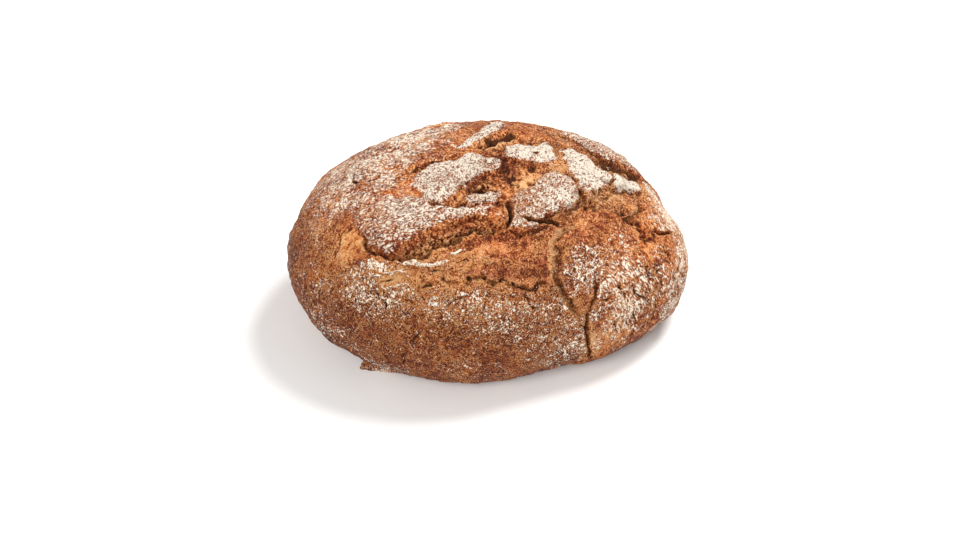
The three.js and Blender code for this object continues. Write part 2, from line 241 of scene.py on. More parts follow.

# Small holes in the crumb and along the splits, darkened with painted shade: place, radius and depth.
HOLES = (
    ((50.5, -21), 1.8, 2.2),
    ((56, -20), 2.0, 2.2),
    ((77, -15), 2.2, 2.0),
    ((80, -21), 2.6, 2.6),
    ((92, -27), 2.2, 2.2),
    ((99, -23), 1.8, 1.6),
    ((10, -13), 2.8, 2.2),
    ((16, 4), 2.2, 2.0),
    ((2, -15), 3.6, 2.8),
    ((-5, -71), 1.8, 1.6),
    ((5, -70), 1.6, 1.6),
    ((13, -73), 2.0, 1.6),
    ((-58, -43), 1.3, 1.2),
    ((-54, -50), 1.5, 1.4),
    ((-50, -52), 1.4, 1.2),
    ((-45, -54), 1.5, 1.4),
    ((-41, -55.5), 1.3, 1.2),
    ((-18, -71), 1.6, 1.3),
    ((20, -73.5), 1.6, 1.4),
    ((27, 6), 2.6, 2.0),
    ((28, -6), 1.8, 1.4),
    ((34, -75), 2.0, 1.8),
    ((24, -75), 1.8, 1.6),
    ((60, -19), 1.6, 1.6),
    ((94, -30), 2.2, 2.2),
    ((-14, -49), 2.2, 1.9),
    ((-4, -45), 1.6, 1.4),
    ((1.5, -43.5), 1.5, 1.4),
    ((-3, -42), 2.2, 1.8),
    ((6, -44.5), 1.6, 1.4),
    ((30, 18), 1.8, 1.6),
    ((36, 3), 1.8, 1.6),
)

# Thin cracks in the skin: route, depth and half width.
HAIRLINES = (
    (((-61, -67), (-60, -72), (-58, -76), (-56, -81), (-59, -91)), 1.5, 1.1),
    (((-44, -105), (-48, -111), (-54, -116)), 2.0, 1.3),
    (((-62, -121), (-67, -124), (-72, -129)), 1.8, 1.2),
    (((24, -78), (28, -83), (31, -88), (40, -89)), 1.8, 1.2),
    (((-20, -90), (-17, -87), (-12, -83), (-6, -80)), 1.6, 1.2),
    (((-115, -55), (-122, -58)), 1.2, 1.0),
    (((-101, -61), (-107, -68)), 1.2, 1.0),
    (((-77, -6), (-73, -5), (-69, -2)), 2.0, 1.5),
    (((-64, 7), (-63, 3), (-60, -1)), 2.0, 1.5),
    (((-59, -6), (-56, -2)), 1.8, 1.4),
    (((-59, 4), (-50, 5), (-43, 9), (-38, 12)), 1.5, 1.3),
    (((-53, -2), (-47, 1), (-41, 4), (-36, 8)), 1.3, 1.2),
    (((-73, -30), (-72, -36), (-72, -42)), 1.4, 1.2),
    (((-69, -33), (-66, -31), (-63, -29)), 1.4, 1.2),
    (((-48, 24), (-34, 30), (-24, 37)), 1.2, 1.2),
    (((-70, 22), (-58, 26)), 1.2, 1.2),
    (((-65, -29), (-70, -32), (-74, -43), (-79, -49)), 1.8, 1.2),
    (((-61, -22), (-57, -18)), 1.6, 1.2),
    (((-81, -19), (-78, -15)), 1.4, 1.1),
    (((0, -94), (4, -89)), 1.2, 1.0),
    (((93, -98), (97, -93)), 1.0, 1.0),
    (((95, -87), (108, -94)), 1.0, 1.0),
    (((-60, 7), (-51, 8)), 1.4, 1.1),
    (((-35, -4), (-30, 4), (-25, 8), (-19, 9.5), (-12, 12)), 1.6, 1.1),
    (((77, -75), (84, -71)), 1.2, 1.0),
    (((99, -45), (103, -49), (110, -53)), 2.4, 1.7),
    (((102, -27), (112, -30), (122, -33), (136, -34), (157, -29)), 1.5, 1.2),
    (((92, -57), (98, -62), (106, -65), (116, -67)), 1.6, 1.2),
    (((107, -45), (116, -48), (126, -52)), 1.5, 1.2),
    (((84, -61), (90, -67), (98, -71)), 1.3, 1.1),
    (((120, -60), (130, -66), (138, -76)), 1.3, 1.1),
    (((108, -76), (118, -82), (124, -92)), 1.3, 1.1),
    (((106, -17), (119, -12), (132, -11), (151, -12)), 1.6, 1.2),
    (((-24, 27), (-19, 28)), 1.4, 1.2),
    (((36, 62), (38, 40)), 1.2, 1.0),
    (((89, -114), (105, -119)), 1.4, 1.2),
    (((52, -56), (54, -62)), 1.2, 1.0),
    (((-125, -65), (-124, -69)), 1.4, 1.1),
    (((-38, -64), (-29, -65.5), (-22, -66), (-15, -64.5)), 1.2, 0.9),
    (((-12, -60), (-7, -58.5), (-3, -56)), 1.0, 0.8),
    (((-56, -69), (-50, -67), (-45, -68.5)), 1.0, 0.9),
    (((-32, -73), (-28, -73.6), (-24, -73.4)), 1.6, 1.2),
    (((-70, 62), (-52, 74), (-48, 92)), 1.6, 1.2),
    (((20, 118), (52, 122), (74, 112)), 1.6, 1.2),
    (((84, 70), (100, 82), (104, 100)), 1.6, 1.2),
    (((-150, 24), (-146, 44)), 1.4, 1.1),
    (((-90, 120), (-70, 134)), 1.4, 1.1),
)

# Thin lips of floured skin that stand up beside the splits: route, height and half width.
LIPS = (
    (((-41, -59.5), (-34, -59.5), (-29, -60.5), (-23, -61.5), (-17, -60.5), (-13, -58.5)), 1.6, 2.4),
    (((-15, -56.5), (-11, -54.5), (-7, -52.5)), 1.4, 1.5),
    (((-61, -66), (-53, -63.5), (-46, -63), (-40, -65), (-33, -70)), 0.8, 1.0),
    (((-59, -72), (-52, -72.5), (-45, -72), (-39, -71.5), (-33, -71)), 0.7, 1.0),
)

# Strands and folded edges of the torn crumb, which stand up without flour: route, height and half width.
STRANDS = (
    (((0, -15), (1, -12), (3, -10), (5, -11), (7, -14)), 1.6, 1.2),
    (((-4, -11), (1, -5), (5, -2), (8, -5), (12, -9)), 1.4, 1.2),
    (((7, 0), (11, 4), (14, 0), (14, -4)), 1.4, 1.2),
    (((19, -5), (20, -10), (20, -16), (21, -20)), 1.5, 1.2),
    (((19, -1), (23, -2), (27, -3), (30, -6)), 1.5, 1.4),
    (((22, -9), (24, -5), (23, -3)), 1.3, 1.2),
    (((22, 5), (26, 3), (30, 3), (34, 7)), 1.3, 1.2),
    (((13, -24), (17, -22), (20, -19)), 1.3, 1.1),
    (((6, -32), (9, -36), (9, -39)), 1.3, 1.0),
    (((9, -32), (12, -35), (13, -38)), 1.3, 1.0),
    (((0, -35), (3, -36), (6, -38), (7, -41)), 1.3, 1.1),
    (((14, -45), (16, -42), (18, -41), (21, -43)), 1.4, 1.2),
    (((33, -38), (39, -37), (44, -37)), 1.2, 1.1),
    (((-3, -45), (3, -44), (8, -44)), 1.2, 1.2),
    (((15, 9), (18, 7), (19, 1), (17, -3), (15, -4)), 1.8, 1.2),
    (((-9, -70), (-4, -69), (0, -66)), 1.0, 1.1),
    (((1, -76), (9, -78), (18, -79), (26, -80)), 1.0, 1.2),
    (((-25, -33), (-22, -37), (-21, -41)), 1.0, 1.0),
    (((62, -2), (68, -6), (74, -6), (79, -10)), 1.2, 1.3),
    (((66, -12), (72, -12), (77, -9)), 1.0, 1.2),
)

# Flour off the plates: place, radii along and across, turn in degrees, and how much of the skin it covers.
FLOUR = (
    ((12, -87), (42, 13), 0, 0.365),
    ((20, -100), (46, 16), -6, 0.3),
    ((58, -104), (30, 18), -15, 0.28),
    ((52, -78), (9, 12), 0, 0.36),
    ((-66, -62), (13, 9), 10, 0.36),
    ((-70, -75), (14, 9), -10, 0.58),
    ((-60, -80), (16, 8), 0, 0.43),
    ((-62, -71), (5, 6), 0, 0.55),
    ((-40, -4), (10, 8), 30, 0.54),
    ((88, -46), (10, 8), -30, 0.32),
    ((-56, -57), (12, 4), -12, 0.48),
    ((-60, -84), (22, 11), 0, 0.28),
    ((-93, -42), (24, 30), 0, 0.19),
    ((-128, -40), (18, 44), 0, 0.24),
    ((-74, -81), (8, 5), 0, 0.4),
    ((90, -105), (10, 6), 0, 0.42),
    ((12, -31), (6, 6), 0, 0.4),
    ((72, -68), (10, 6), -20, 0.5),
    ((77, -88), (8, 6), 0, 0.5),
    ((72, -117), (14, 9), 0, 0.42),
    ((-48, -78), (14, 7), 0, 0.26),
    ((-100, -60), (16, 14), 0, 0.26),
    ((68, -54), (18, 10), -20, 0.44),
    ((61, -61), (11, 9), 10, 0.5),
    ((78, -35), (10, 6), -20, 0.36),
    ((104, -34), (8, 6), 0, 0.32),
    ((-37, -17), (9, 6), 20, 0.44),
    ((-62, 6), (11, 8), 0, 0.54),
    ((84, -58), (22, 17), -50, 0.39),
    ((102, -58), (10, 18), 25, 0.41),
    ((122, -60), (12, 24), 25, 0.38),
    ((92, -84), (20, 10), -40, 0.39),
    ((118, -86), (16, 22), 30, 0.3),
    ((99, -12), (10, 5), -10, 0.42),
    ((104, 8), (12, 7), -60, 0.5),
    ((113, -4), (16, 6), -25, 0.6),
    ((106, -82), (24, 13), 40, 0.45),
    ((98, 20), (10, 8), -50, 0.58),
    ((118, 4), (17, 9), -15, 0.56),
    ((138, 0), (17, 10), -10, 0.6),
    ((112, -12), (16, 6), -8, 0.5),
    ((140, -14), (18, 7), -12, 0.56),
    ((156, -28), (8, 12), 20, 0.58),
    ((132, -24), (8, 20), 20, 0.5),
    ((144, -48), (16, 34), 30, 0.49),
    ((-54, 16), (44, 26), 18, 0.43),
    ((-58, -10), (22, 9), 18, 0.42),
    ((-52, 4), (8, 5), 10, 0.5),
    ((-30, 44), (44, 14), 14, 0.48),
    ((-84, -10), (26, 26), 0, 0.17),
    ((-26, 62), (26, 12), 0, 0.4),
    ((-46, -60), (18, 5), 10, 0.3),
    ((78, -106), (12, 9), 0, 0.4),
    ((60, -128), (34, 10), -8, 0.25),
    ((0, -140), (40, 8), 0, 0.19),
    ((-118, -70), (34, 50), 20, 0.22),
    ((-98, -130), (24, 8), -24, 0.34),
    ((-20, 96), (70, 30), 10, 0.36),
    ((80, 100), (40, 34), -20, 0.36),
    ((138, 46), (22, 24), 20, 0.3),
    ((-120, 50), (40, 40), 0, 0.34),
)

# Where that flour is brushed off: place, radii, turn and the share that it loses.
BARE = (
    ((-10, 20), (19, 4.5), 28, 0.3),
    ((-4, 42), (7, 14), -30, 0.8),
    ((-30, 2), (12, 3), 38, 0.5),
    ((26, 74), (26, 18), 0, 0.6),
    ((-86, -84), (26, 18), -20, 0.3),
    ((18, -80), (14, 5), 0, 0.55),
    ((-56, -4), (6, 4), 0, 0.35),
)

# Patches that baked darker, below 0, or stayed more golden, above it: place, radii, turn and tone. A few are painted
# light instead: golden highlights on split walls that face the light, and shade on walls under the ledge and in a
# cave below the cap.
BAKED_AND_PAINTED_LIGHT = (
    ((-3, -50), (11, 3), 20, -0.5),
    ((14, -46), (13, 3), 0, -0.34),
    ((32, -41), (12, 3), 20, -0.3),
    ((24, -60), (26, 7), 4, -0.08),
    ((-22, -61), (26, 6), 4, 0.24),
    ((100, -98), (20, 10), 35, 0.24),
    ((12, -86), (42, 13), 0, 0.17),
    ((-70, -42), (8, 12), 0, 0.06),
    # Painted highlights: golden strips on the walls below the cap's split and beside the shield, which face the
    # light.
    ((-10, -48.5), (20, 1.6), 17, 0.34),
    ((49, -33), (13, 2), 46, 0.4),
    ((13, -32), (6, 7), 0, -0.32),
    ((2, -68), (30, 5), 0, 0.12),
    ((64, -8), (9, 5), 10, 0.16),
    ((112, 12), (16, 6), -15, 0.3),
    ((52, -46), (6, 13), 10, -0.12),
    ((74, -32), (22, 12), -10, 0.06),
    ((71, -26), (8, 9), 10, -0.36),
    ((66, -20), (14, 7), 25, -0.1),
    ((80, -17), (7, 4), 0, -0.3),
    ((74, 6), (7, 4), 10, -0.2),
    ((84, 0), (10, 5), -30, -0.2),
    ((88, -12), (10, 4), -30, 0.14),
    ((108, 0), (26, 12), -10, 0.12),
    ((136, -16), (24, 16), -20, 0.24),
    ((16, 1), (4.5, 8), 20, -0.6),
    ((10, 8), (5, 4), 30, -0.45),
    ((41, 14), (6, 11), 20, 0.45),
    ((21, -67), (12, 3.5), 0, -0.36),
    ((26, -79), (9, 4), 0, -0.36),
    ((-2, -68), (12, 3), 0, -0.2),
    ((-12, -20), (12, 4), 10, 0.25),
    ((10, 17), (4, 7), -30, -0.3),
    ((-30, -117), (30, 12), 10, -0.12),
    ((54, -120), (24, 8), 0, -0.14),
    ((-2, -79), (10, 4), 0, -0.16),
    # Painted highlight on the cleft's wall that faces the light.
    ((40.5, -50), (1.6, 13), 0, 0.5),
    ((2, -8), (8, 4), 25, -0.3),
    ((24, -14), (5, 5), 0, 0.16),
    ((25, -5), (8, 6), 0, 0.14),
    ((17, -12), (4, 4), 0, 0.2),
    ((42, -30), (14, 5), 30, -0.14),
    ((97, -26), (8, 5), 0, -0.12),
    ((-30, -48), (24, 4), 12, -0.12),
    ((-8, 2), (24, 3), 28, -0.1),
    ((-138, -44), (19, 46), 0, -0.22),
    ((-60, -70), (22, 10), 0, 0.2),
    ((-34, -72), (26, 9), 4, 0.13),
    ((-9, -97), (8, 5), 0, 0.3),
    ((17, -19), (5, 6), 0, -0.22),
    # Painted shade in a cave below the cap.
    ((-5, -43), (7, 3.5), 20, -0.38),
    ((69, -16), (6, 3), 0, 0.14),
    ((0, -130), (14, 10), 0, -0.1),
    ((-130, -92), (14, 12), 0, -0.16),
    ((-90, -14), (10, 10), 0, -0.12),
    ((-100, -100), (40, 24), 0, -0.24),
    ((-86, -40), (20, 30), 0, 0.03),
    ((-86, -60), (18, 7), 0, 0.14),
    ((100, -88), (28, 14), 40, 0.18),
    ((44, 100), (60, 40), 0, -0.08),
    # Painted shade on the walls under the ledge.
    ((57, 38), (14, 3), -38, -0.42),
    ((82, 25.5), (17, 3.4), 0, -0.5),
)

# Smooth golden skin, stretched thin: outlines.
GOLDEN = (
    ((-66, -30), (-60, -38), (-57, -46), (-62, -48), (-69, -51), (-76, -54), (-79, -49), (-74, -43), (-70, -33)),
    ((-45, -14), (-39, -8), (-31, -5), (-25, -6), (-26, -15), (-28, -19), (-36, -18)),
    ((8, -28), (13, -26), (18, -27), (17, -37), (12, -42), (8, -37)),
    ((91, -32), (102, -29), (107, -36), (100, -43), (92, -40)),
    ((-60, -69), (-53, -65), (-46, -64.5), (-41, -66), (-35, -70), (-45, -70.5), (-53, -71)),
    ((14, -7), (19, -7), (20, -15), (19, -23), (13, -24), (13, -14)),
    ((21, 4), (30, 2), (30, -6), (24, -9), (19, -5)),
)

# The sheet of base crust that sticks out at the front left, and the tuck beside it, in degrees round the loaf.
FLAP_STARTS, FLAP_SPANS = -141.5, 32
TUCK = (-162, -148, -142, -135)  # starts, is full, wanes, ends

RIGHT_STARTS = 45  # how far east the skin starts to be pulled the way of the right flank
PULLED = ((108, -58), (34, 44))  # the slanting ridges of the right flank: place and radii
LEAST_COVER = 0.1  # the share of the skin that is floured everywhere

# ------------------------------------------------------------------------------------ what a user can change


def number(name, default, description, unit="NONE"):
    return bpy.props.FloatProperty(name=name, default=default, description=description, unit=unit)


def size(name, metres, description):
    return number(name, metres, description, "LENGTH")


def power(name, watts, description):
    return number(name, watts, description, "POWER")


def tint(name, red, green, blue, description):
    """A colour given in the 0 to 255 of a screen, and kept as Blender's linear one."""
    linear = [((c / 255 + 0.055) / 1.055) ** 2.4 if c > 10 else c / 3294.6 for c in (red, green, blue)]
    return bpy.props.FloatVectorProperty(
        name=name, default=linear, size=3, min=0, max=1, subtype="COLOR", description=description
    )


class LoafSizes(bpy.types.PropertyGroup):
    length: size("Length", 0.243, "Over the bulge of the sides, along the loaf")
    width: size("Width", 0.191, "Over the bulge of the sides, across the loaf")
    height: size("Height", 0.102, "From the flat base to the crown")
    widest_at: size("Widest at", 0.038, "Height of the fullest line round the loaf")
    foot: number("Foot", 0.74, "Radius of the flat base, as a share of the fullest radius")
    crown_lean: size("Crown lean", -0.011, "How far the crown leans along the loaf")
    dome_power: number("Dome power", 2.2, "Squareness of the dome, 2 for an ellipsoid")
    plate_lift: size("Plate lift", 0.0016, "How far a floured plate swells above its own edge")
    tear_depth: size("Tear depth", 0.0042, "How far the torn crumb lies below the plates")
    band_depth: size("Band depth", 0.0014, "How far the stretched skin lies below the crust")
    flap_reach: size("Flap reach", 0.0215, "How far the sheet of base crust sticks out past the foot")
    flap_thickness: size("Flap thickness", 0.0036, "Thickness of that sheet")
    flap_tuck: size("Flap tuck", 0.0052, "How far the foot is tucked in beside that sheet")


class CrustColours(bpy.types.PropertyGroup):
    flour: tint("Flour", 242, 227, 207, "Rye flour on the plates")
    loose_flour: tint("Loose flour", 255, 241, 220, "Flecks of flour off the plates")
    dusted: tint("Dusted crust", 214, 158, 118, "Crust under a thin veil of flour")
    pale: tint("Pale skin", 242, 184, 124, "Skin stretched thinnest")
    golden: tint("Golden skin", 228, 154, 84, "Thin stretched skin")
    chestnut: tint("Chestnut crust", 195, 104, 50, "The crust's main colour")
    russet: tint("Russet crust", 150, 65, 31, "Darker patches of crust")
    burnt: tint("Burnt crust", 84, 35, 15, "Edges and ridges that caught the heat")
    toast: tint("Toasted crumb", 148, 80, 38, "Ridges of crumb that browned")
    honey: tint("Honey crumb", 198, 126, 68, "Torn crumb's main colour")
    cream: tint("Pale crumb", 240, 190, 136, "Crumb stretched thin")
    # Painted shade: the split floor colour on the floors of the splits, and the pit colour deep in them and in the
    # crumb's darkest hollows.
    olive: tint("Split floor", 136, 80, 42, "Moist crumb on the floors of the splits")
    pit_shade: tint("Pit", 50, 22, 10, "Deep in the splits")


class StageSettings(bpy.types.PropertyGroup):
    floor_tone: tint("Floor", 247, 246, 244, "The plain pale floor")
    key: power("Key light", 19.4, "Power of the main soft box")
    fill: power("Fill light", 29.0, "Power of the front soft box")
    sky: number("Room light", 0.40, "Strength of the even light of the room")
    distance: size("Camera distance", 1.4, "From the camera to the point that it looks at")
    elevation: bpy.props.FloatProperty(
        name="Camera elevation", default=math.radians(40), description="Above the horizon", subtype="ANGLE"
    )


# ------------------------------------------------------------------------------------ noise and measuring

_draw = np.random.default_rng(11)
SHUFFLE = _draw.permutation(256)
SLOPES = _draw.normal(size=(256, 3))
SLOPES /= np.linalg.norm(SLOPES, axis=1, keepdims=True)
LUMPS_SCALE = 1.7


def ramp(value, low, high):
    """0 up to low, 1 from high, smooth between."""
    share = np.clip((value - low) / (high - low), 0, 1)
    return share * share * (3 - 2 * share)


def lumps(points, wave):
    """Smooth random lumps about `wave` across, from about -1 to 1: a lattice of random slopes, blended."""
    scaled = points / wave
    cell = np.floor(scaled).astype(int)
    part = scaled - cell
    fade = part**3 * (part * (part * 6 - 15) + 10)
    total = np.zeros(len(points))
    for corner in product((0, 1), repeat=3):
        at = cell + corner
        index = SHUFFLE[(SHUFFLE[(SHUFFLE[at[:, 0] & 255] + at[:, 1]) & 255] + at[:, 2]) & 255]
        weight = np.prod(np.where(corner, fade, 1 - fade), axis=1)
        total += weight * np.sum(SLOPES[index] * (part - corner), axis=1)
    return total * LUMPS_SCALE


def rough(points, wave, octaves=3, gain=0.55):
    """Lumps with finer and finer lumps on them."""
    return sum(gain**k * lumps(points + 37.0 * k, wave / 2**k) for k in range(octaves))


def ripple(x, y, wave, phase):
    """An uneven ripple from about -1 to 1, with waves about `wave` long."""
    u = 2 * math.pi * x / wave
    v = 2 * math.pi * y / wave
    along = np.sin(u + 1.3 * np.sin(0.7 * v + phase) + phase)
    across = np.sin(0.83 * v - 1.1 * np.sin(0.6 * u - 2 * phase) + 2.1 * phase)
    return (along + across) / 2


def near_box(points, x, y, margin):
    """Which places lie in the points' box or within a margin of it."""
    low, high = np.min(points, axis=0) - margin, np.max(points, axis=0) + margin
    return (x > low[0]) & (x < high[0]) & (y > low[1]) & (y < high[1])


def to_line(x, y, start, end):
    """The share of a straight line that is done at its point nearest to each place, and the distance to there."""
    (x0, y0), (x1, y1) = start, end
    dx, dy = x1 - x0, y1 - y0
    along = np.clip(((x - x0) * dx + (y - y0) * dy) / (dx * dx + dy * dy), 0, 1)
    return along, np.hypot(x - x0 - along * dx, y - y0 - along * dy)


def inside(outline, x, y):
    """How far each place lies inside a closed outline, negative outside it."""
    found = np.full(len(x), -FAR)
    near = near_box(outline, x, y, OUTLINE_REACH)
    px, py = x[near], y[near]
    distance = np.full(len(px), FAR)
    within = np.zeros(len(px), bool)
    for (x0, y0), (x1, y1) in zip(outline, outline[1:] + outline[:1]):
        distance = np.minimum(distance, to_line(px, py, (x0, y0), (x1, y1))[1])
        if y1 != y0:
            within ^= ((y0 > py) != (y1 > py)) & (px < x0 + (x1 - x0) * (py - y0) / (y1 - y0))
    found[near] = np.where(within, distance, -distance)
    return found


def smooth_route(route, steps=4):
    """A curve through the route's points."""
    points = np.array(route, float)
    padded = np.vstack([2 * points[0] - points[1], points, 2 * points[-1] - points[-2]])
    curve = [points[0]]
    for a, b, c, d in zip(padded, padded[1:], padded[2:], padded[3:]):
        for t in np.arange(1, steps + 1) / steps:
            curve.append(
                0.5 * (2 * b + (c - a) * t + (2 * a - 5 * b + 4 * c - d) * t**2 + (3 * b - a - 3 * c + d) * t**3)
            )
    return np.array(curve)


def along_route(route, x, y, margin):
    """Distance from the route, which side of it (1 left, -1 right), and the share of it that is done there."""
    line = smooth_route(route)
    lengths = np.hypot(*np.diff(line, axis=0).T)
    done = np.concatenate([[0], np.cumsum(lengths)]) / lengths.sum()
    distance, side, share = np.full(len(x), FAR), np.ones(len(x)), np.zeros(len(x))
    near = near_box(line, x, y, margin)
    px, py = x[near], y[near]
    best, left, part = np.full(len(px), FAR), np.ones(len(px)), np.zeros(len(px))
    for (x0, y0), (x1, y1), start, end in zip(line, line[1:], done, done[1:]):
        along, gap = to_line(px, py, (x0, y0), (x1, y1))
        closer = gap < best
        best = np.where(closer, gap, best)
        left = np.where(closer, np.sign((x1 - x0) * (py - y0) - (y1 - y0) * (px - x0)), left)
        part = np.where(closer, start + along * (end - start), part)
    distance[near], side[near], share[near] = best, left, part
    return distance, side, share


# ------------------------------------------------------------------------------------ the smooth loaf


class Form:
    """The smooth loaf, in millimetres. Each of its points is named by a direction, as on a ball of radius 1."""

    def __init__(self, sizes):
        self.length, self.width, self.height = (v / MM for v in (sizes.length, sizes.width, sizes.height))
        self.widest_at, self.lean = sizes.widest_at / MM, sizes.crown_lean / MM
        self.foot, self.power = sizes.foot, sizes.dome_power

    def radius(self, azimuth):
        oval = 1 / np.hypot(np.cos(azimuth) / (self.length / 2), np.sin(azimuth) / (self.width / 2))
        return oval * (1 + sum(c * np.cos(n * azimuth) + s * np.sin(n * azimuth) for n, c, s in PLAN_LOBES))

    @staticmethod
    def place(direction):
        """Azimuth and fall."""
        turn = np.arccos(np.clip(direction[:, 2], -1, 1)) / (math.pi / 2)
        return np.arctan2(direction[:, 1], direction[:, 0]), np.where(turn <= 1, turn, 1 + 2 * (turn - 1))

    def points(self, direction):
        azimuth, fall = self.place(direction)
        fullest = self.radius(azimuth)
        s, c = np.sin(np.minimum(fall, FULLEST) * math.pi / 2), np.cos(np.minimum(fall, FULLEST) * math.pi / 2)
        swell = (s**self.power + np.maximum(c, 0) ** self.power) ** (-1 / self.power)
        turn = np.clip(fall - 1, 0, 1) * math.pi / 2
        radius = np.where(fall <= FULLEST, s * swell, self.foot + (1 - self.foot) * np.cos(turn)) * fullest
        radius = np.where(fall > BASE_EDGE, fullest * self.foot * (BASE_MIDDLE - fall), radius)
        dome = self.widest_at + (self.height - self.widest_at) * np.maximum(c, 0) * swell
        z = np.where(fall <= FULLEST, dome, self.widest_at * (1 - np.sin(turn)))
        lean = self.lean * z / self.height
        return np.stack([radius * np.cos(azimuth) + lean, radius * np.sin(azimuth), z], axis=1)

    def normals(self, direction, step=0.004):
        """Which way the smooth loaf faces, from its points a small step to each side."""
        aside = np.where(np.abs(direction[:, 2:]) < 0.9, [[0.0, 0.0, 1.0]], [[1.0, 0.0, 0.0]])
        first = np.cross(aside, direction)
        first /= np.linalg.norm(first, axis=1, keepdims=True)

        def slope(tangent):
            ahead, behind = direction + step * tangent, direction - step * tangent
            ahead /= np.linalg.norm(ahead, axis=1, keepdims=True)
            behind /= np.linalg.norm(behind, axis=1, keepdims=True)
            return self.points(ahead) - self.points(behind)

        normal = np.cross(slope(first), slope(np.cross(direction, first)))
        return normal / np.linalg.norm(normal, axis=1, keepdims=True)

    def crust_place(self, direction):
        """East and north of the crown, along the crust."""
        azimuth, fall = self.place(direction)
        fullest = self.radius(azimuth)
        dome = math.pi / 2 * math.sqrt(0.5) * np.hypot(fullest, self.height - self.widest_at)
        tuck = math.pi / 2 * math.sqrt(0.5) * np.hypot((1 - self.foot) * fullest, self.widest_at)
        reach = np.where(fall <= FULLEST, fall * dome, dome + (np.minimum(fall, BASE_EDGE) - 1) * tuck)
        return reach * np.cos(azimuth), reach * np.sin(azimuth)


# ------------------------------------------------------------------------------------ the relief


class Crust:
    """The crust at each direction: its height over the smooth loaf, and the marks that its finish reads."""

    def __init__(self, form, sizes, direction):
        self.form, self.sizes = form, sizes
        self.azimuth, self.fall = form.place(direction)
        self.base = form.points(direction)
        self.east, self.north = form.crust_place(direction)
        grain = self.base
        # Marks get ragged edges, because their places are read from a warped chart of the crust.
        warp = [1.3 * ripple(self.east, self.north, 19, p) + 0.5 * ripple(self.east, self.north, 7, q)
                for p, q in ((1, 2), (5, 4))]
        self.x = self.east + warp[0] + 0.5 * lumps(grain, 3.1) + 0.3 * lumps(grain + 50, 1.7)
        self.y = self.north + warp[1] + 0.5 * lumps(grain + 90, 3.1) + 0.3 * lumps(grain + 70, 1.7)
        plates = np.array([inside(outline, self.x, self.y) for outline in PLATES.values()])
        self.plate = plates.max(axis=0)
        self.plate_cover = np.array([PLATE_COVER[name] for name in PLATES])[plates.argmax(axis=0)]
        self.tear = inside(TEAR, self.x, self.y)
        self.band = inside(BAND, self.x, self.y)
        self.cut_splits()
        self.near_mark = np.full(len(self.x), FAR)
        self.cut_hairlines()
        self.press_holes()
        self.lip = self.raised(LIPS, 0.25, 0.2)
        self.strand = self.raised(STRANDS, 0.3, 0.1)

    def cut_splits(self):
        """The splits' depth, the walls that face the light, and how much painted shade each place gets in a gap."""
        count = len(self.x)
        self.split, self.near_split, self.lit_wall = np.zeros(count), np.full(count, FAR), np.zeros(count)
        self.gap = np.zeros(count)
        ragged = 0.9 * lumps(self.base, 4.0) + 0.6 * lumps(self.base, 1.9)
        for route, depth, left, right, dark in SPLITS.values():
            distance, side, share = along_route(route, self.x, self.y, SPLIT_REACH)
            taper = ramp(share, -0.05, 0.15) * ramp(1 - share, -0.05, 0.15)
            width = np.where(side > 0, left, right) * (0.45 + 0.55 * taper)
            uneven = np.maximum(distance + ragged * np.minimum(distance, 2) / 2, 0)
            cut = depth * taper * (1 - ramp(uneven, 0.26 * width, width)) * (1 + 0.4 * lumps(self.base + 11, 6.0))
            self.lit_wall = np.where(cut > self.split, ramp(-side * distance, 0.1, 0.6) * taper, self.lit_wall)
            self.split = np.maximum(self.split, cut)
            self.near_split = np.minimum(self.near_split, distance - width)
            # Painted shade: the split's dark reaches up its left wall, and a shorter way up its right.
            reach = np.where(side > 0, dark, max(dark / 2, 1.1))
            shade = taper * min(max(dark / 2.6, 0.42), 1.4) * (1 - ramp(uneven, 0.5 * reach, 0.5 + 1.2 * reach))
            self.gap = np.maximum(self.gap, shade)

    def cut_hairlines(self):
        self.hairline = np.zeros(len(self.x))
        for route, depth, width in HAIRLINES:
            distance, _, share = along_route(route, self.x, self.y, THIN_REACH)
            distance = np.maximum(distance + 0.5 * lumps(self.base + 31, 2.0), 0)
            taper = ramp(share, -0.1, 0.3) * ramp(1 - share, -0.1, 0.3)
            self.hairline = np.maximum(self.hairline, depth * taper * (1 - ramp(distance, 0.1, width)))
            # Painted shade along the thin cracks.
            broken = 0.95 + 0.6 * lumps(self.base + 5, 3.0)
            self.gap = np.maximum(self.gap, broken * taper * (1 - ramp(distance, 0.1, 0.5 * width)))
            self.near_mark = np.minimum(self.near_mark, distance - width)

    def press_holes(self):
        self.hole = np.zeros(len(self.x))
        for (x, y), radius, depth in HOLES:
            far = np.hypot(self.x - x, self.y - y) / radius
            self.hole = np.maximum(self.hole, depth * np.exp(-far**2))
            # Painted shade in the holes.
            self.gap = np.maximum(self.gap, 1 - ramp(far, 0.3, 1.1))
            self.near_mark = np.minimum(self.near_mark, (far - 1.2) * radius)

    def raised(self, ridges, tapering, blunt):
        """The height of thin ridges, which fall away at both ends and from their blunt backs."""
        top = np.zeros(len(self.x))
        for route, height, width in ridges:
            distance, _, share = along_route(route, self.x, self.y, THIN_REACH)
            taper = ramp(share, -0.1, tapering) * ramp(1 - share, -0.1, tapering)
            top = np.maximum(top, height * taper * (1 - ramp(distance, blunt, width)))
            self.near_mark = np.minimum(self.near_mark, distance - width)
        return top

    def is_fine(self):
        """Where the mesh has to follow sharp edges."""
        edge = np.abs(self.plate + 0.3) < 1.0
        return edge | (self.near_split < -0.4) | (self.near_mark < -0.1) | ((self.tear > 0.5) & (self.plate < 0))

    def heights(self):
        """How far the crust stands out from the smooth loaf."""
        grain = self.base
        self.edge = self.plate + 1.1 * lumps(grain, 5.5) + 0.6 * lumps(grain, 2.3)
        off_plate = ramp(-self.edge, -0.7, 1.5)
        torn, band = ramp(self.tear, -0.5, 3), ramp(self.band, -1, 6)
        self.torn = np.maximum(torn * off_plate, 0)
        self.stretched = band * off_plate

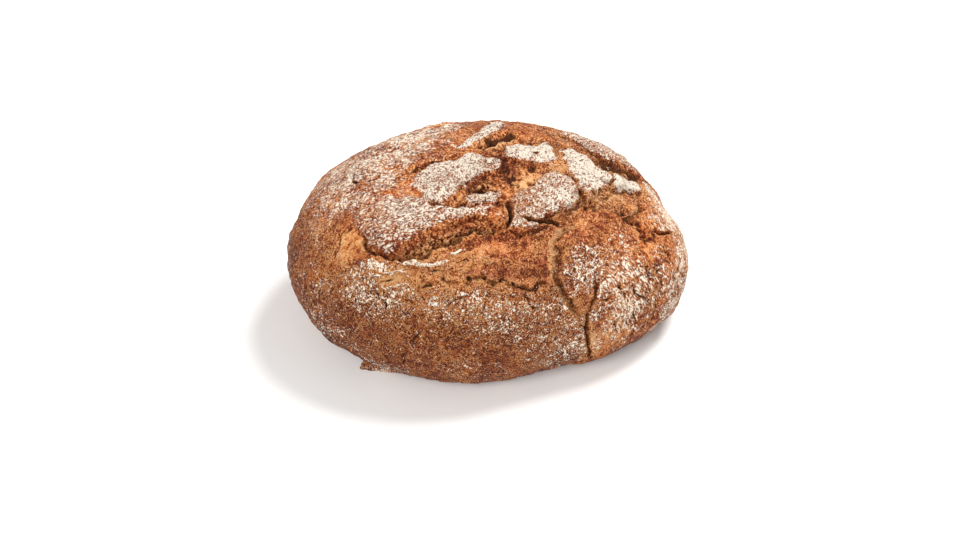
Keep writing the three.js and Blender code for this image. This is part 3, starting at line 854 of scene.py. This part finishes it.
        shallow = sum(np.exp(-((self.east - x) ** 2 + (self.north - y) ** 2) / r**2) for (x, y), r in SHALLOW)
        self.shallow = np.minimum(shallow, 1)
        self.open_crumb = np.max([weight * share for weight, share in self.patches(CRUMB)], axis=0)
        bubbly = (0.3 + 0.7 * self.open_crumb) * (1 - 0.8 * self.golden())
        tear_depth, band_depth = self.sizes.tear_depth / MM, self.sizes.band_depth / MM
        torn_depth = torn * off_plate * (tear_depth + self.crumb() * bubbly) * (1 - 0.8 * self.shallow)
        wrinkled_depth = band * off_plate * (band_depth + 0.7 * rough(grain * [0.55, 1.0, 1.0], 5.5))
        split_depth = self.split * (1 + 0.3 * lumps(grain, 2.6) + 0.2 * lumps(grain, 1.4))
        sunk = np.maximum(np.maximum(torn_depth, wrinkled_depth), split_depth)

        swell = sum(
            height * np.exp(-((self.east - x) ** 2 + (self.north - y) ** 2) / radius**2)
            for (x, y), radius, height in SWELLS
        )
        unevenness = 0.5 * ripple(self.east, self.north, 33, 7) + 0.25 * ripple(self.east, self.north, 14, 8)
        lift = self.sizes.plate_lift / MM * ramp(self.edge, -1, 5) * (1 - 0.6 * self.shallow)
        out = swell + unevenness + self.skin() + lift + self.lip + self.strand
        self.height = out - self.hole - np.maximum(sunk, self.hairline)
        return self.height

    def crumb(self):
        """The bubbles and ridges of torn crumb."""
        bubbles = 1.3 * ripple(self.east, self.north, 9, 3) + 1.2 * rough(self.base, 7.5, 2)
        return bubbles - (0.9 - 1.7 * np.abs(rough(self.base + 20, 5.2, 3, 0.5)))

    def skin(self):
        """The skin's lumps, and its ridges where it is pulled."""
        skin = 0.6 * rough(self.base, 9.0)
        for wave, height in ((6.5, 0.35), (3.4, 0.3), (1.9, 0.15)):
            skin = skin + height * lumps(self.base, wave)
        ridges = 0.8 * lumps(self.slanted(3.2, 15), 1.0) + 0.5 * lumps(self.slanted(1.9, 9), 1.0)
        return skin + self.pulled() * ridges

    def slanted(self, across, along, turn=-27):
        """Places measured along and across the pull of the skin, which runs at a turn from the east."""
        c, s = math.cos(math.radians(turn)), math.sin(math.radians(turn))
        run, aside = c * self.east + s * self.north, c * self.north - s * self.east
        return np.stack([aside / across, run / along, np.zeros(len(run))], axis=1)

    def stretch(self):
        """The grain of stretched skin, along and across its pull, and how much of it shows."""
        right = self.east > RIGHT_STARTS
        grain = np.where(right[:, None], self.slanted(0.85, 2.6), self.slanted(0.85, 1.5, 17))
        left = ramp(self.north, -62, -45) * (1 - ramp(self.east, 14, 40)) * (1 - ramp(self.north, 60, 90))
        left = left * (1 - ramp(self.plate, -1, 1) * (self.plate_cover != PLATE_COVER["apron"]))
        return grain, np.where(right, self.pulled(), 0.75 * left)

    def pulled(self):
        """Where the right flank's skin is pulled into slanting ridges."""
        (x, y), (across, along) = PULLED
        return np.exp(-(((self.east - x) / across) ** 2 + ((self.north - y) / along) ** 2) ** 1.5)

    def flap(self, z):
        """How far the sheet of base crust reaches out, less the tuck beside it."""
        thickness = self.sizes.flap_thickness / MM
        degrees = np.degrees(self.azimuth)
        foot = self.form.radius(self.azimuth) * self.sizes.foot
        share = np.clip((degrees - FLAP_STARTS) / FLAP_SPANS, 0, 1)
        edge = self.sizes.flap_reach / MM * ramp(share, 0, 0.03) * (1 - share) ** 1.5
        edge = edge * (1 + 0.06 * lumps(self.base, 3.0))
        above = 1 - ramp(z + 0.8 * lumps(self.base, 4.0), 0.3 * thickness, 2.2 * thickness)
        sheet = np.maximum(foot + edge - np.hypot(self.base[:, 0], self.base[:, 1]), 0) * above
        under = ramp(BASE_MIDDLE - self.fall, 0.7, 1)
        sheet = np.where(self.fall > BASE_EDGE, edge * under, sheet)
        tuck_starts, tuck_full, tuck_wanes, tuck_ends = TUCK
        tuck = ramp(degrees, tuck_starts, tuck_full) * (1 - ramp(degrees, tuck_wanes, tuck_ends))
        tuck = tuck * (1 - ramp(z, 6, 22)) * np.where(self.fall > BASE_EDGE, under, 1)
        tuck = tuck * self.sizes.flap_tuck / MM * (1 - np.minimum(sheet / 2, 1))
        self.sheet = np.clip(sheet / 3, 0, 1) * (self.fall > 1.2)
        return np.where(self.fall < 1.2, 0, sheet - tuck)

    def points(self, direction):
        """The crust's points, whose relief fades out towards the flat base."""
        fade = 1 - ramp(self.fall, 1.45, 1.98)
        low_skin = ramp(self.fall, 1.4, 1.8) * (1 - ramp(self.fall, 1.9, 2.0)) * 0.3 * rough(self.base, 6.0)
        height = fade * self.heights() + low_skin
        self.normal = self.form.normals(direction)
        points = self.base + self.normal * height[:, None]
        reach = self.flap(self.base[:, 2])
        points[:, 0] += reach * np.cos(self.azimuth)
        points[:, 1] += reach * np.sin(self.azimuth)
        points[self.fall >= BASE_EDGE, 2] = 0
        return points

    def patches(self, marks):
        """The weight of each soft oval patch, with its own value."""
        for (x, y), (along, across), turn, amount in marks:
            c, s = math.cos(math.radians(turn)), math.sin(math.radians(turn))
            dx, dy = self.east - x, self.north - y
            far = ((c * dx + s * dy) / along) ** 2 + ((c * dy - s * dx) / across) ** 2
            yield np.exp(-0.5 * far**1.5), amount

    def flour(self):
        """How much of the skin is floured, away from the plates."""
        cover = np.full(len(self.east), LEAST_COVER)
        for weight, amount in self.patches(FLOUR):
            cover = np.maximum(cover, amount * weight)
        bare = np.maximum(ramp(self.tear, -2, 1) * (1 - 0.75 * self.shallow), ramp(self.band, -3, 2))
        cover = cover * (1 - bare) * (1 - ramp(self.split, 0.2, 1.5)) + 0.7 * ramp(self.lip, 0.4, 0.9)
        for weight, share in self.patches(BARE):
            cover = cover * (1 - share * weight)
        return np.maximum(cover * (1 - ramp(self.fall, 1.85, 2.05)), 0.34 * self.sheet)

    def flour_on_plates(self):
        """How much of the nearest plate is floured, where it isn't rubbed thin."""
        kept = 1.0
        for weight, share in self.patches(RUBBED):
            kept = kept * (1 - share * weight)
        return self.plate_cover * kept

    def baked(self):
        """How much darker, below 0, or more golden the crust baked, with a few patches of painted light and shade
        among them.
        """
        # The flap's sheet is lightened: painted light on a sheet that lies in the shade of the loaf's side.
        return sum(weight * tone for weight, tone in self.patches(BAKED_AND_PAINTED_LIGHT)) + 0.3 * self.sheet

    def painted_side_shade(self):
        """How far the crust faces the fill light rather than the key light: the share of painted shade on its colour.
        """
        towards, away = self.normal @ TOWARDS_FILL_LIGHT, self.normal @ TOWARDS_KEY_LIGHT
        return np.clip(1.2 * towards - 0.9 * np.maximum(away, 0), 0, 1)

    def fine_flour(self):
        """Where the flour is finest, on the skin at the back left."""
        return ramp(self.north, -50, -25) * (1 - ramp(self.east, -10, 20))

    def crumbly(self):
        """Where torn crumb shows, rather than skin."""
        return self.torn * np.maximum(self.open_crumb, 0.28) * (1 - 0.9 * self.shallow)

    def golden(self):
        """Where the skin is stretched smooth."""
        smooth = np.max([inside(outline, self.x, self.y) for outline in GOLDEN], axis=0)
        return ramp(smooth, -1.5, 2.0)


# ------------------------------------------------------------------------------------ mesh making


def select_faces(piece, chosen):
    """Selects the chosen faces, and nothing else, in face mode."""
    mesh = piece.data
    mesh.vertices.foreach_set("select", np.zeros(len(mesh.vertices), bool))
    mesh.edges.foreach_set("select", np.zeros(len(mesh.edges), bool))
    mesh.polygons.foreach_set("select", chosen)


def subdivide_faces(piece, chosen):
    bpy.context.tool_settings.mesh_select_mode = (False, False, True)
    select_faces(piece, chosen)
    bpy.ops.object.mode_set(mode="EDIT")
    bpy.ops.mesh.subdivide(number_cuts=1, ngon=False)
    bpy.ops.object.mode_set(mode="OBJECT")


def corners(mesh):
    places = np.empty(len(mesh.vertices) * 3)
    mesh.vertices.foreach_get("co", places)
    return places.reshape(-1, 3)


def place_corners(mesh, points):
    mesh.vertices.foreach_set("co", points.ravel())
    mesh.update()


def face_middles(mesh):
    middles = np.empty(len(mesh.polygons) * 3)
    mesh.polygons.foreach_get("center", middles)
    return middles.reshape(-1, 3)


def rounded(points):
    """The points moved out or in to a ball of radius 1."""
    return points / np.linalg.norm(points, axis=1, keepdims=True)


def height_over_neighbours(mesh, height, rounds):
    """How far each corner stands above the average of those round it, taken so many rounds out."""
    edges = np.empty(len(mesh.edges) * 2, int)
    mesh.edges.foreach_get("vertices", edges)
    a, b = edges.reshape(-1, 2).T
    count = np.bincount(a, minlength=len(height)) + np.bincount(b, minlength=len(height))
    average = height
    for _ in range(rounds):
        total = np.bincount(a, average[b], len(height)) + np.bincount(b, average[a], len(height))
        average = 0.5 * average + 0.5 * total / count
    return height - average


def keep(mesh, name, values):
    """Keeps a mark on the mesh, for the finish to read."""
    attribute = mesh.attributes.new(name, "FLOAT", "POINT")
    attribute.data.foreach_set("value", np.asarray(values, np.float32))


# ------------------------------------------------------------------------------------ the finish

MIDDLE = 0.5  # a noise's average
CURLS_MIDDLE = 0.2  # the curls' average
SPECK_STRETCH = (1.0, 0.72, 1.0)  # specks are longer across the loaf
FLUSH = (0.94, 0.82, 0.9)  # multiplies the crust in its redder patches
PAINTED_SIDE_SHADE = (0.7, 0.68, 0.665)  # painted shade: multiplies the crust's colour where it faces the fill light
MARKS = (
    "plate", "torn", "stretched", "split", "gap", "lit_wall", "cover", "plate_cover", "baked", "smooth", "ridge",
    "underside", "painted_side_shade", "fine_flour",
)


class Nodes:
    """A short way to write a material's nodes."""

    def __init__(self, tree):
        self.tree = tree

    def add(self, kind, inputs=None, **settings):
        node = self.tree.nodes.new(kind)
        for name, value in settings.items():
            setattr(node, name, value)
        for name, value in (inputs or {}).items():
            self.feed(node.inputs[name], value)
        return node

    def feed(self, socket, value):
        if isinstance(value, bpy.types.NodeSocket):
            self.tree.links.new(value, socket)
        else:
            socket.default_value = value

    def maths(self, operation, a, b=0.0):
        return self.add("ShaderNodeMath", {0: a, 1: b}, operation=operation).outputs[0]

    def times(self, first, *others):
        for other in others:
            first = self.maths("MULTIPLY", first, other)
        return first

    def sum(self, start, *terms, middle=0.0):
        """Start, and each value's distance from the middle times its weight."""
        total = start
        for value, weight in terms:
            offset = self.maths("SUBTRACT", value, middle) if middle else value
            total = self.maths("ADD", total, self.times(offset, weight))
        return total

    def shades(self, tone, *stops):
        """A colour for each tone, blended between the stops."""
        node = self.add("ShaderNodeValToRGB", {"Fac": tone})
        elements = node.color_ramp.elements
        while len(elements) < len(stops):
            elements.new(1.0)
        for element, (position, shade) in zip(elements, stops):
            element.position, element.color = position, colour(shade)
        return node.outputs["Color"]

    def blend(self, share, first, second):
        return self.add("ShaderNodeMix", {0: share, 2: first, 3: second}, data_type="FLOAT").outputs[0]

    def step(self, value, low, high, start=0.0, end=1.0, kind="SMOOTHSTEP"):
        """A smooth step from start to end, as the value goes from low to high."""
        inputs = {"Value": value, "From Min": low, "From Max": high, "To Min": start, "To Max": end}
        return self.add("ShaderNodeMapRange", inputs, interpolation_type=kind).outputs[0]

    def line(self, value, low, high, start, end):
        """A straight step from start to end."""
        return self.step(value, low, high, start, end, "LINEAR")

    def threads(self, noise, width):
        """Thin lines where the noise crosses its middle."""
        return self.step(self.maths("ABSOLUTE", self.maths("SUBTRACT", noise, MIDDLE)), width, 0.0)

    def mark(self, name):
        """A mark kept on the mesh."""
        return self.add("ShaderNodeAttribute", attribute_name=name).outputs["Fac"]

    def noise(self, where, scale, detail=2.0, roughness=0.55, distortion=0.0):
        inputs = {"Vector": where, "Scale": scale, "Detail": detail, "Roughness": roughness, "Distortion": distortion}
        return self.add("ShaderNodeTexNoise", inputs).outputs["Fac"]

    def mix(self, share, first, second, blend="MIX"):
        node = self.add("ShaderNodeMix", data_type="RGBA", blend_type=blend)
        for socket, value in zip((node.inputs[0], node.inputs[6], node.inputs[7]), (share, first, second)):
            self.feed(socket, value)
        return node.outputs[2]


def colour(values):
    return (*values, 1.0)


def crust_patterns(n):
    """The crust's random patterns, with scales in waves to the millimetre."""
    place = n.add("ShaderNodeTexCoord").outputs["Object"]
    where = n.add("ShaderNodeVectorMath", {0: place, "Scale": 1 / MM}, operation="SCALE").outputs[0]
    speck = n.add("ShaderNodeVectorMath", {0: where, 1: SPECK_STRETCH}, operation="MULTIPLY").outputs[0]
    pull = n.add("ShaderNodeAttribute", attribute_name="grain").outputs["Vector"]
    pulled = n.mark("pulled")
    return SimpleNamespace(
        broad=n.noise(where, 0.045, 2),
        restless=n.noise(where, 0.11, 2),
        patchy=n.noise(where, 0.15, 3, 0.6),
        coarse=n.noise(where, 0.36, 3, 0.6, 0.5),
        fine=n.blend(pulled, n.noise(speck, 1.35, 3, 0.66, 0.6), n.noise(pull, 1.3, 3, 0.66, 0.6)),
        fleck=n.blend(pulled, n.noise(speck, 0.8, 2, 0.55, 1.2), n.noise(pull, 0.8, 2, 0.55, 1.0)),
        curd=n.blend(pulled, n.noise(speck, 0.7, 2, 0.5, 1.2), n.noise(pull, 0.6, 2, 0.5, 1.2)),
        thread=n.threads(n.noise(speck, 0.5, 2, 0.5, 1.0), 0.06),
        curl=n.threads(n.noise(speck, 1.0, 2, 0.5, 1.6), 0.05),
    )


def skin_layer(n, pattern, mark, colours):
    """The first skin, on a tone that runs from burnt, 0, to pale gold, 1."""
    threads = n.times(n.maths("ADD", pattern.thread, pattern.curl), mark.stretched)
    tone = n.sum(0.305, (pattern.coarse, 2.6), (pattern.broad, 1.0), middle=MIDDLE)
    tone = n.sum(tone, (pattern.grain, n.line(mark.stretched, 0.0, 1.0, 7.0, 5.4)), (threads, 0.2))
    # Painted highlight on the skin's ridges and painted shade in its hollows.
    tone = n.sum(tone, (pattern.thread, 0.22), (mark.ridge, 0.35), (mark.stretched, -0.02))
    # Towards the base the tone is lowered: partly the base crust's browner bake, partly painted shade.
    tone = n.sum(tone, (mark.smooth, 0.4), (mark.baked, 1.0), (mark.underside, -0.36))
    tone = n.sum(tone, (pattern.curls, 0.34), middle=CURLS_MIDDLE)
    tone = n.sum(tone, (n.times(mark.stretched, n.maths("SUBTRACT", pattern.patchy, MIDDLE)), 1.8))
    return n.shades(tone, (0.0, colours.burnt), (0.24, colours.russet), (0.52, colours.chestnut),
                    (0.8, colours.golden), (1.0, colours.pale))


def crumb_layer(n, pattern, mark, colours):
    """Torn crumb: golden, with burnt edges, a painted highlight on its ridges and painted shade in the hollows
    between them.
    """
    tone = n.sum(0.56, (pattern.coarse, 2.6), (pattern.patchy, 1.8), middle=MIDDLE)
    tone = n.sum(tone, (pattern.grain, 5.6))
    tone = n.sum(tone, (pattern.curls, 0.3), middle=CURLS_MIDDLE)
    tone = n.sum(tone, (mark.ridge, 0.5), (mark.baked, 1.2), (pattern.thread, 0.15), (mark.smooth, 0.26),
                 (mark.lit_wall, 0.35))
    return n.shades(tone, (0.0, colours.pit_shade), (0.2, colours.burnt), (0.44, colours.toast),
                    (0.68, colours.honey), (1.0, colours.cream))


def flushed(n, pattern, mark, crust):
    """The crust with a red flush in patches, mostly on the stretched skin."""
    flush = n.times(n.step(pattern.patchy, 0.4, 0.58), n.step(mark.stretched, 0.0, 1.0, 0.4, 1.0))
    flush = n.times(flush, n.step(mark.baked, -0.05, 0.15, 1.0, 0.3))
    flush = n.times(flush, n.step(mark.torn, 0.0, 0.6, 1.0, 0.2))
    return n.mix(flush, crust, colour(FLUSH), "MULTIPLY")


def split_open(n, pattern, mark, colours, crust, crumb, gap):
    """The crust with its splits: a painted golden highlight on the walls that face the light, and painted shade,
    olive brown on their floors and near black where deep.
    """
    lit = n.times(mark.lit_wall, n.step(mark.split, 0.3, 2.0, 0.0, 0.7))
    crust = n.mix(lit, crust, crumb)
    tone = n.sum(0.5, (pattern.fine, 7.0), (pattern.coarse, 4.0), middle=MIDDLE)
    floor = n.shades(tone, (0.0, colours.pit_shade), (0.3, colours.burnt), (0.62, colours.olive), (1.0, colours.golden))
    crust = n.mix(n.step(gap, 0.15, 0.6, 0.0, 0.9), crust, floor)
    deep = n.sum(gap, (pattern.fine, 2.8), (pattern.coarse, 3.0), middle=MIDDLE)
    return n.mix(n.step(deep, 0.45, 1.05, 0.0, 0.92), crust, colour(colours.pit_shade))


def floured(n, pattern, mark, colours, crust, gap):
    """The crust under white flecks and a thin veil, with small pits of dark crust on the plates, and the flecks."""
    jagged = n.sum(mark.plate, (pattern.fine, 4.0), (pattern.coarse, 6.0), middle=MIDDLE)
    on_plate = n.step(jagged, -0.6, 1.4)
    loose = n.sum(mark.cover, (pattern.patchy, 0.7), (pattern.coarse, 0.35), (pattern.broad, 0.3), middle=MIDDLE)
    loose = n.times(loose, n.line(mark.cover, 0.0, 0.2, 0.0, 1.0))
    loose = n.maths("MINIMUM", loose, n.line(mark.cover, 0.66, 0.84, 0.54, 0.9))
    packed = n.times(on_plate, n.sum(mark.plate_cover, (pattern.patchy, 0.5), middle=MIDDLE))
    density = n.times(n.maths("MAXIMUM", loose, packed), n.step(gap, 0.5, 0.1))
    crust = n.mix(n.step(density, 0.34, 0.6, 0.0, 0.26), crust, colour(colours.dusted))

    pits = n.times(n.step(jagged, 0.6, 2.0), n.step(pattern.fleck, 0.5, 0.42))
    pits = n.times(pits, n.step(mark.plate_cover, 0.44, 0.62, 0.5, 0.85))
    crust = n.mix(pits, crust, n.mix(0.5, colour(colours.russet), colour(colours.burnt)))

    flat = n.maths("MAXIMUM", on_plate, mark.fine_flour)
    grains = n.sum(0.0, (n.blend(flat, pattern.curd, pattern.fleck), 0.75), (pattern.fine, 0.25),
                   (pattern.thread, 0.02), (pattern.curl, n.line(mark.fine_flour, 0.0, 1.0, 0.03, 0.08)))
    threshold = n.line(density, 0.0, 1.0, 0.668, 0.364)
    flour = n.step(n.maths("SUBTRACT", grains, threshold), -0.004, 0.008)
    white = n.mix(on_plate, colour(colours.loose_flour), colour(colours.flour))
    return n.mix(flour, crust, white), flour


def crust_finish(colours):
    """Baked crust: floured plates, speckled skin, golden stretched skin and torn crumb."""
    material = bpy.data.materials.new("floured_crust")
    material.use_nodes = True
    material.node_tree.nodes.clear()
    n = Nodes(material.node_tree)
    pattern = crust_patterns(n)
    mark = SimpleNamespace(**{name: n.mark(name) for name in MARKS})
    restless = n.step(pattern.restless, 0.36, 0.64, 0.68, 1.24)
    calm = n.times(n.step(mark.smooth, 0.0, 1.0, 1.0, 0.45), restless)
    pattern.grain = n.times(n.maths("SUBTRACT", pattern.fine, MIDDLE), calm)
    pattern.curls = n.times(pattern.curl, calm)

    crumb = crumb_layer(n, pattern, mark, colours)
    crust = n.mix(mark.torn, skin_layer(n, pattern, mark, colours), crumb)
    crust = flushed(n, pattern, mark, crust)
    # The painted shade of the splits, the thin cracks and the holes, with ragged edges.
    gap = n.sum(mark.gap, (pattern.fine, 0.8), (pattern.coarse, 0.8), middle=MIDDLE)
    crust = split_open(n, pattern, mark, colours, crust, crumb, gap)
    # Painted shade on the crust where it faces the fill light.
    crust = n.mix(mark.painted_side_shade, crust, colour(PAINTED_SIDE_SHADE), "MULTIPLY")
    shade, flour = floured(n, pattern, mark, colours, crust, gap)

    bumps = n.sum(0.0, (pattern.fine, 0.7), (pattern.coarse, 0.5), (flour, 0.15), (pattern.fleck, 0.4),
                  (pattern.curd, 0.25), (pattern.thread, 0.1))
    bump = n.add("ShaderNodeBump", {"Height": bumps, "Strength": 1.0, "Distance": 0.0022})
    dull = n.maths("MAXIMUM", flour, n.step(gap, 0.0, 0.4))
    finish = n.add(
        "ShaderNodeBsdfPrincipled",
        {"Base Color": shade, "Roughness": n.step(dull, 0, 1, 0.62, 0.95), "Normal": bump.outputs[0],
         "Specular IOR Level": 0.15},
    )
    n.add("ShaderNodeOutputMaterial", {"Surface": finish.outputs[0]})
    return material


# ------------------------------------------------------------------------------------ the pieces


def clear_selection():
    bpy.ops.object.select_all(action="DESELECT")


class RYE_OT_loaf(bpy.types.Operator):
    """Bakes the loaf: a rounded cube, cut finer where the crust is torn, then raised and split"""

    bl_idname = "rye.loaf"
    bl_label = "Bake the loaf"
    cuts = 31  # of the cube's edges, before the finer cutting
    far_side = 84  # how far north of the crown the finer cutting goes
    flap_middle, flap_half = -131, 15  # degrees round the loaf

    def execute(self, context):
        sizes = context.scene.rye_sizes
        form = Form(sizes)
        clear_selection()
        bpy.ops.mesh.primitive_cube_add(size=2, location=(0, 0, 0))
        loaf = context.object
        loaf.name = loaf.data.name = "crust"
        while loaf.data.uv_layers:
            loaf.data.uv_layers.remove(loaf.data.uv_layers[0])
        bpy.ops.object.mode_set(mode="EDIT")
        bpy.ops.mesh.select_all(action="SELECT")
        bpy.ops.mesh.subdivide(number_cuts=self.cuts)
        bpy.ops.object.mode_set(mode="OBJECT")
        self.even_out(loaf.data)

        for chosen in (self.above_foot, self.in_sight, self.at_sharp_edges):
            subdivide_faces(loaf, chosen(form, sizes, rounded(face_middles(loaf.data))))
            place_corners(loaf.data, rounded(corners(loaf.data)))

        direction = corners(loaf.data)
        crust = Crust(form, sizes, direction)
        points = crust.points(direction)
        self.fit_to_frame(loaf.data, points)
        self.mark_crust(loaf.data, crust)
        bpy.ops.object.shade_smooth()
        loaf.data.materials.append(crust_finish(context.scene.rye_colours))
        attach(loaf, "root")
        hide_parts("loaf")
        return {"FINISHED"}

    @staticmethod
    def even_out(mesh):
        """Rounds the cube to a ball whose faces are much the same size."""
        place_corners(mesh, rounded(np.tan(corners(mesh) * math.pi / 4)))

    @staticmethod
    def above_foot(form, sizes, direction):
        """All but the base."""
        return form.place(direction)[1] < 1.95

    @staticmethod
    def in_sight(form, sizes, direction):
        """The crown, the front and the ends."""
        fall = form.place(direction)[1]
        north = form.crust_place(direction)[1]
        return ((fall < 1.3) & (north < RYE_OT_loaf.far_side)) | RYE_OT_loaf.at_flap(form, direction)

    @staticmethod
    def at_flap(form, direction):
        azimuth, fall = form.place(direction)
        beside = np.abs(np.degrees(azimuth) - RYE_OT_loaf.flap_middle) < RYE_OT_loaf.flap_half
        return beside & (fall > 1.65) & (fall < 2.04)

    @staticmethod
    def at_sharp_edges(form, sizes, direction):
        crust = Crust(form, sizes, direction)
        return (crust.is_fine() & (crust.fall < 1.5)) | RYE_OT_loaf.at_flap(form, direction)

    @staticmethod
    def fit_to_frame(mesh, points):
        """Puts the loaf in its place in the frame, with the same reach each way."""
        points = points * MM
        low, high = points.min(axis=0), points.max(axis=0)
        share = (LOAF_HIGH - LOAF_LOW) / (high - low)
        place_corners(mesh, LOAF_LOW + (points - low) * share)

    @staticmethod
    def mark_crust(mesh, crust):
        grain, pulled = crust.stretch()
        values = {
            "plate": np.clip(crust.edge, -8, 8),
            "torn": crust.crumbly(),
            "stretched": crust.stretched,
            "split": crust.split,
            "gap": crust.gap,
            "lit_wall": crust.lit_wall,
            "cover": crust.flour(),
            "plate_cover": crust.flour_on_plates(),
            "baked": crust.baked(),
            "smooth": crust.golden(),
            # Painted light from the relief: ridges lighter, hollows darker.
            "ridge": np.clip(height_over_neighbours(mesh, crust.height, 8), -1.5, 1.5),
            # Darker towards the base: partly browner bake, partly painted shade.
            "underside": ramp(crust.fall, 0.9, 1.8),
            # Painted shade where the crust faces the fill light.
            "painted_side_shade": crust.painted_side_shade(),
            "fine_flour": crust.fine_flour(),
            "pulled": pulled,
        }
        for name, value in values.items():
            keep(mesh, name, value)
        attribute = mesh.attributes.new("grain", "FLOAT_VECTOR", "POINT")
        attribute.data.foreach_set("vector", grain.astype(np.float32).ravel())


class RYE_OT_stage(bpy.types.Operator):
    """Sets out the plain floor, the soft boxes and the camera"""

    bl_idname = "rye.stage"
    bl_label = "Set the stage"
    lit = Vector((0, 0, 0.045))  # metres, as are the boxes' places and widths
    key_place, key_width = (0.5, 0.42, 1.05), 0.55
    fill_place, fill_width = (-0.7, -1.3, 0.9), 1.6
    aim = Vector((0.002, 0.0005, 0.045))
    aim_pixel = (491.8, 241.0)
    image = (960, 540)

    def execute(self, context):
        settings = context.scene.rye_stage
        self.lay_floor(settings)
        self.hang_light("key", self.key_place, self.key_width, settings.key)
        self.hang_light("fill", self.fill_place, self.fill_width, settings.fill)
        self.light_room(context, settings)
        self.set_camera(context, settings)
        return {"FINISHED"}

    @staticmethod
    def light_room(context, settings):
        world = bpy.data.worlds.new("room")
        world.use_nodes = True
        background = world.node_tree.nodes["Background"]
        background.inputs["Color"].default_value = (1, 1, 1, 1)
        background.inputs["Strength"].default_value = settings.sky
        context.scene.world = world
        context.scene.view_settings.view_transform = "Standard"

    @staticmethod
    def lay_floor(settings):
        clear_selection()
        bpy.ops.mesh.primitive_plane_add(size=8, location=(0, 0, 0))
        floor = bpy.context.object
        floor.name = "floor"
        material = bpy.data.materials.new("pale_floor")
        material.use_nodes = True
        finish = material.node_tree.nodes["Principled BSDF"]
        finish.inputs["Base Color"].default_value = colour(settings.floor_tone)
        finish.inputs["Roughness"].default_value = 0.9
        floor.data.materials.append(material)

    def hang_light(self, name, place, width, power):
        bpy.ops.object.light_add(type="AREA", location=place)
        light = bpy.context.object
        light.name = name
        light.data.shape = "DISK"
        light.data.size = width
        light.data.energy = power
        light.rotation_euler = (self.lit - Vector(place)).to_track_quat("-Z", "Y").to_euler()

    def set_camera(self, context, settings):
        """Looks at the aim so that it lies on the aim's pixel of the image."""
        tilt = settings.elevation
        back = Vector((0, -math.cos(tilt), math.sin(tilt)))
        bpy.ops.object.camera_add(location=self.aim + back * settings.distance)
        camera = context.object
        camera.name = "camera"
        camera.rotation_euler = (-back).to_track_quat("-Z", "Y").to_euler()
        camera.data.lens = 85
        camera.data.sensor_width = 36
        (image_width, image_height), (across, down) = self.image, self.aim_pixel
        camera.data.shift_x = (image_width / 2 - across) / image_width
        camera.data.shift_y = (down - image_height / 2) / image_width
        context.scene.camera = camera


class RYE_PT_panel(bpy.types.Panel):
    """Lists the loaf's steps and values"""

    bl_idname = "RYE_PT_panel"
    bl_label = "Rye Loaf"
    bl_space_type = "VIEW_3D"
    bl_region_type = "UI"
    bl_category = "Rye Loaf"

    def draw(self, context):
        for operator in OPERATORS:
            self.layout.operator(operator.bl_idname)
        for group in (context.scene.rye_sizes, context.scene.rye_colours, context.scene.rye_stage):
            box = self.layout.box()
            for name in group.bl_rna.properties.keys():
                if name not in ("rna_type", "name"):  # those are Blender's own
                    box.prop(group, name)


OPERATORS = (RYE_OT_loaf, RYE_OT_stage)
CLASSES = (LoafSizes, CrustColours, StageSettings, *OPERATORS, RYE_PT_panel)


def register():
    for made in CLASSES:
        bpy.utils.register_class(made)
    bpy.types.Scene.rye_sizes = bpy.props.PointerProperty(type=LoafSizes)
    bpy.types.Scene.rye_colours = bpy.props.PointerProperty(type=CrustColours)
    bpy.types.Scene.rye_stage = bpy.props.PointerProperty(type=StageSettings)


def unregister():
    del bpy.types.Scene.rye_sizes, bpy.types.Scene.rye_colours, bpy.types.Scene.rye_stage
    for made in reversed(CLASSES):
        bpy.utils.unregister_class(made)


def main():
    register()
    bpy.ops.rye.loaf()
    bpy.ops.rye.stage()


if __name__ == "__main__":
    main()
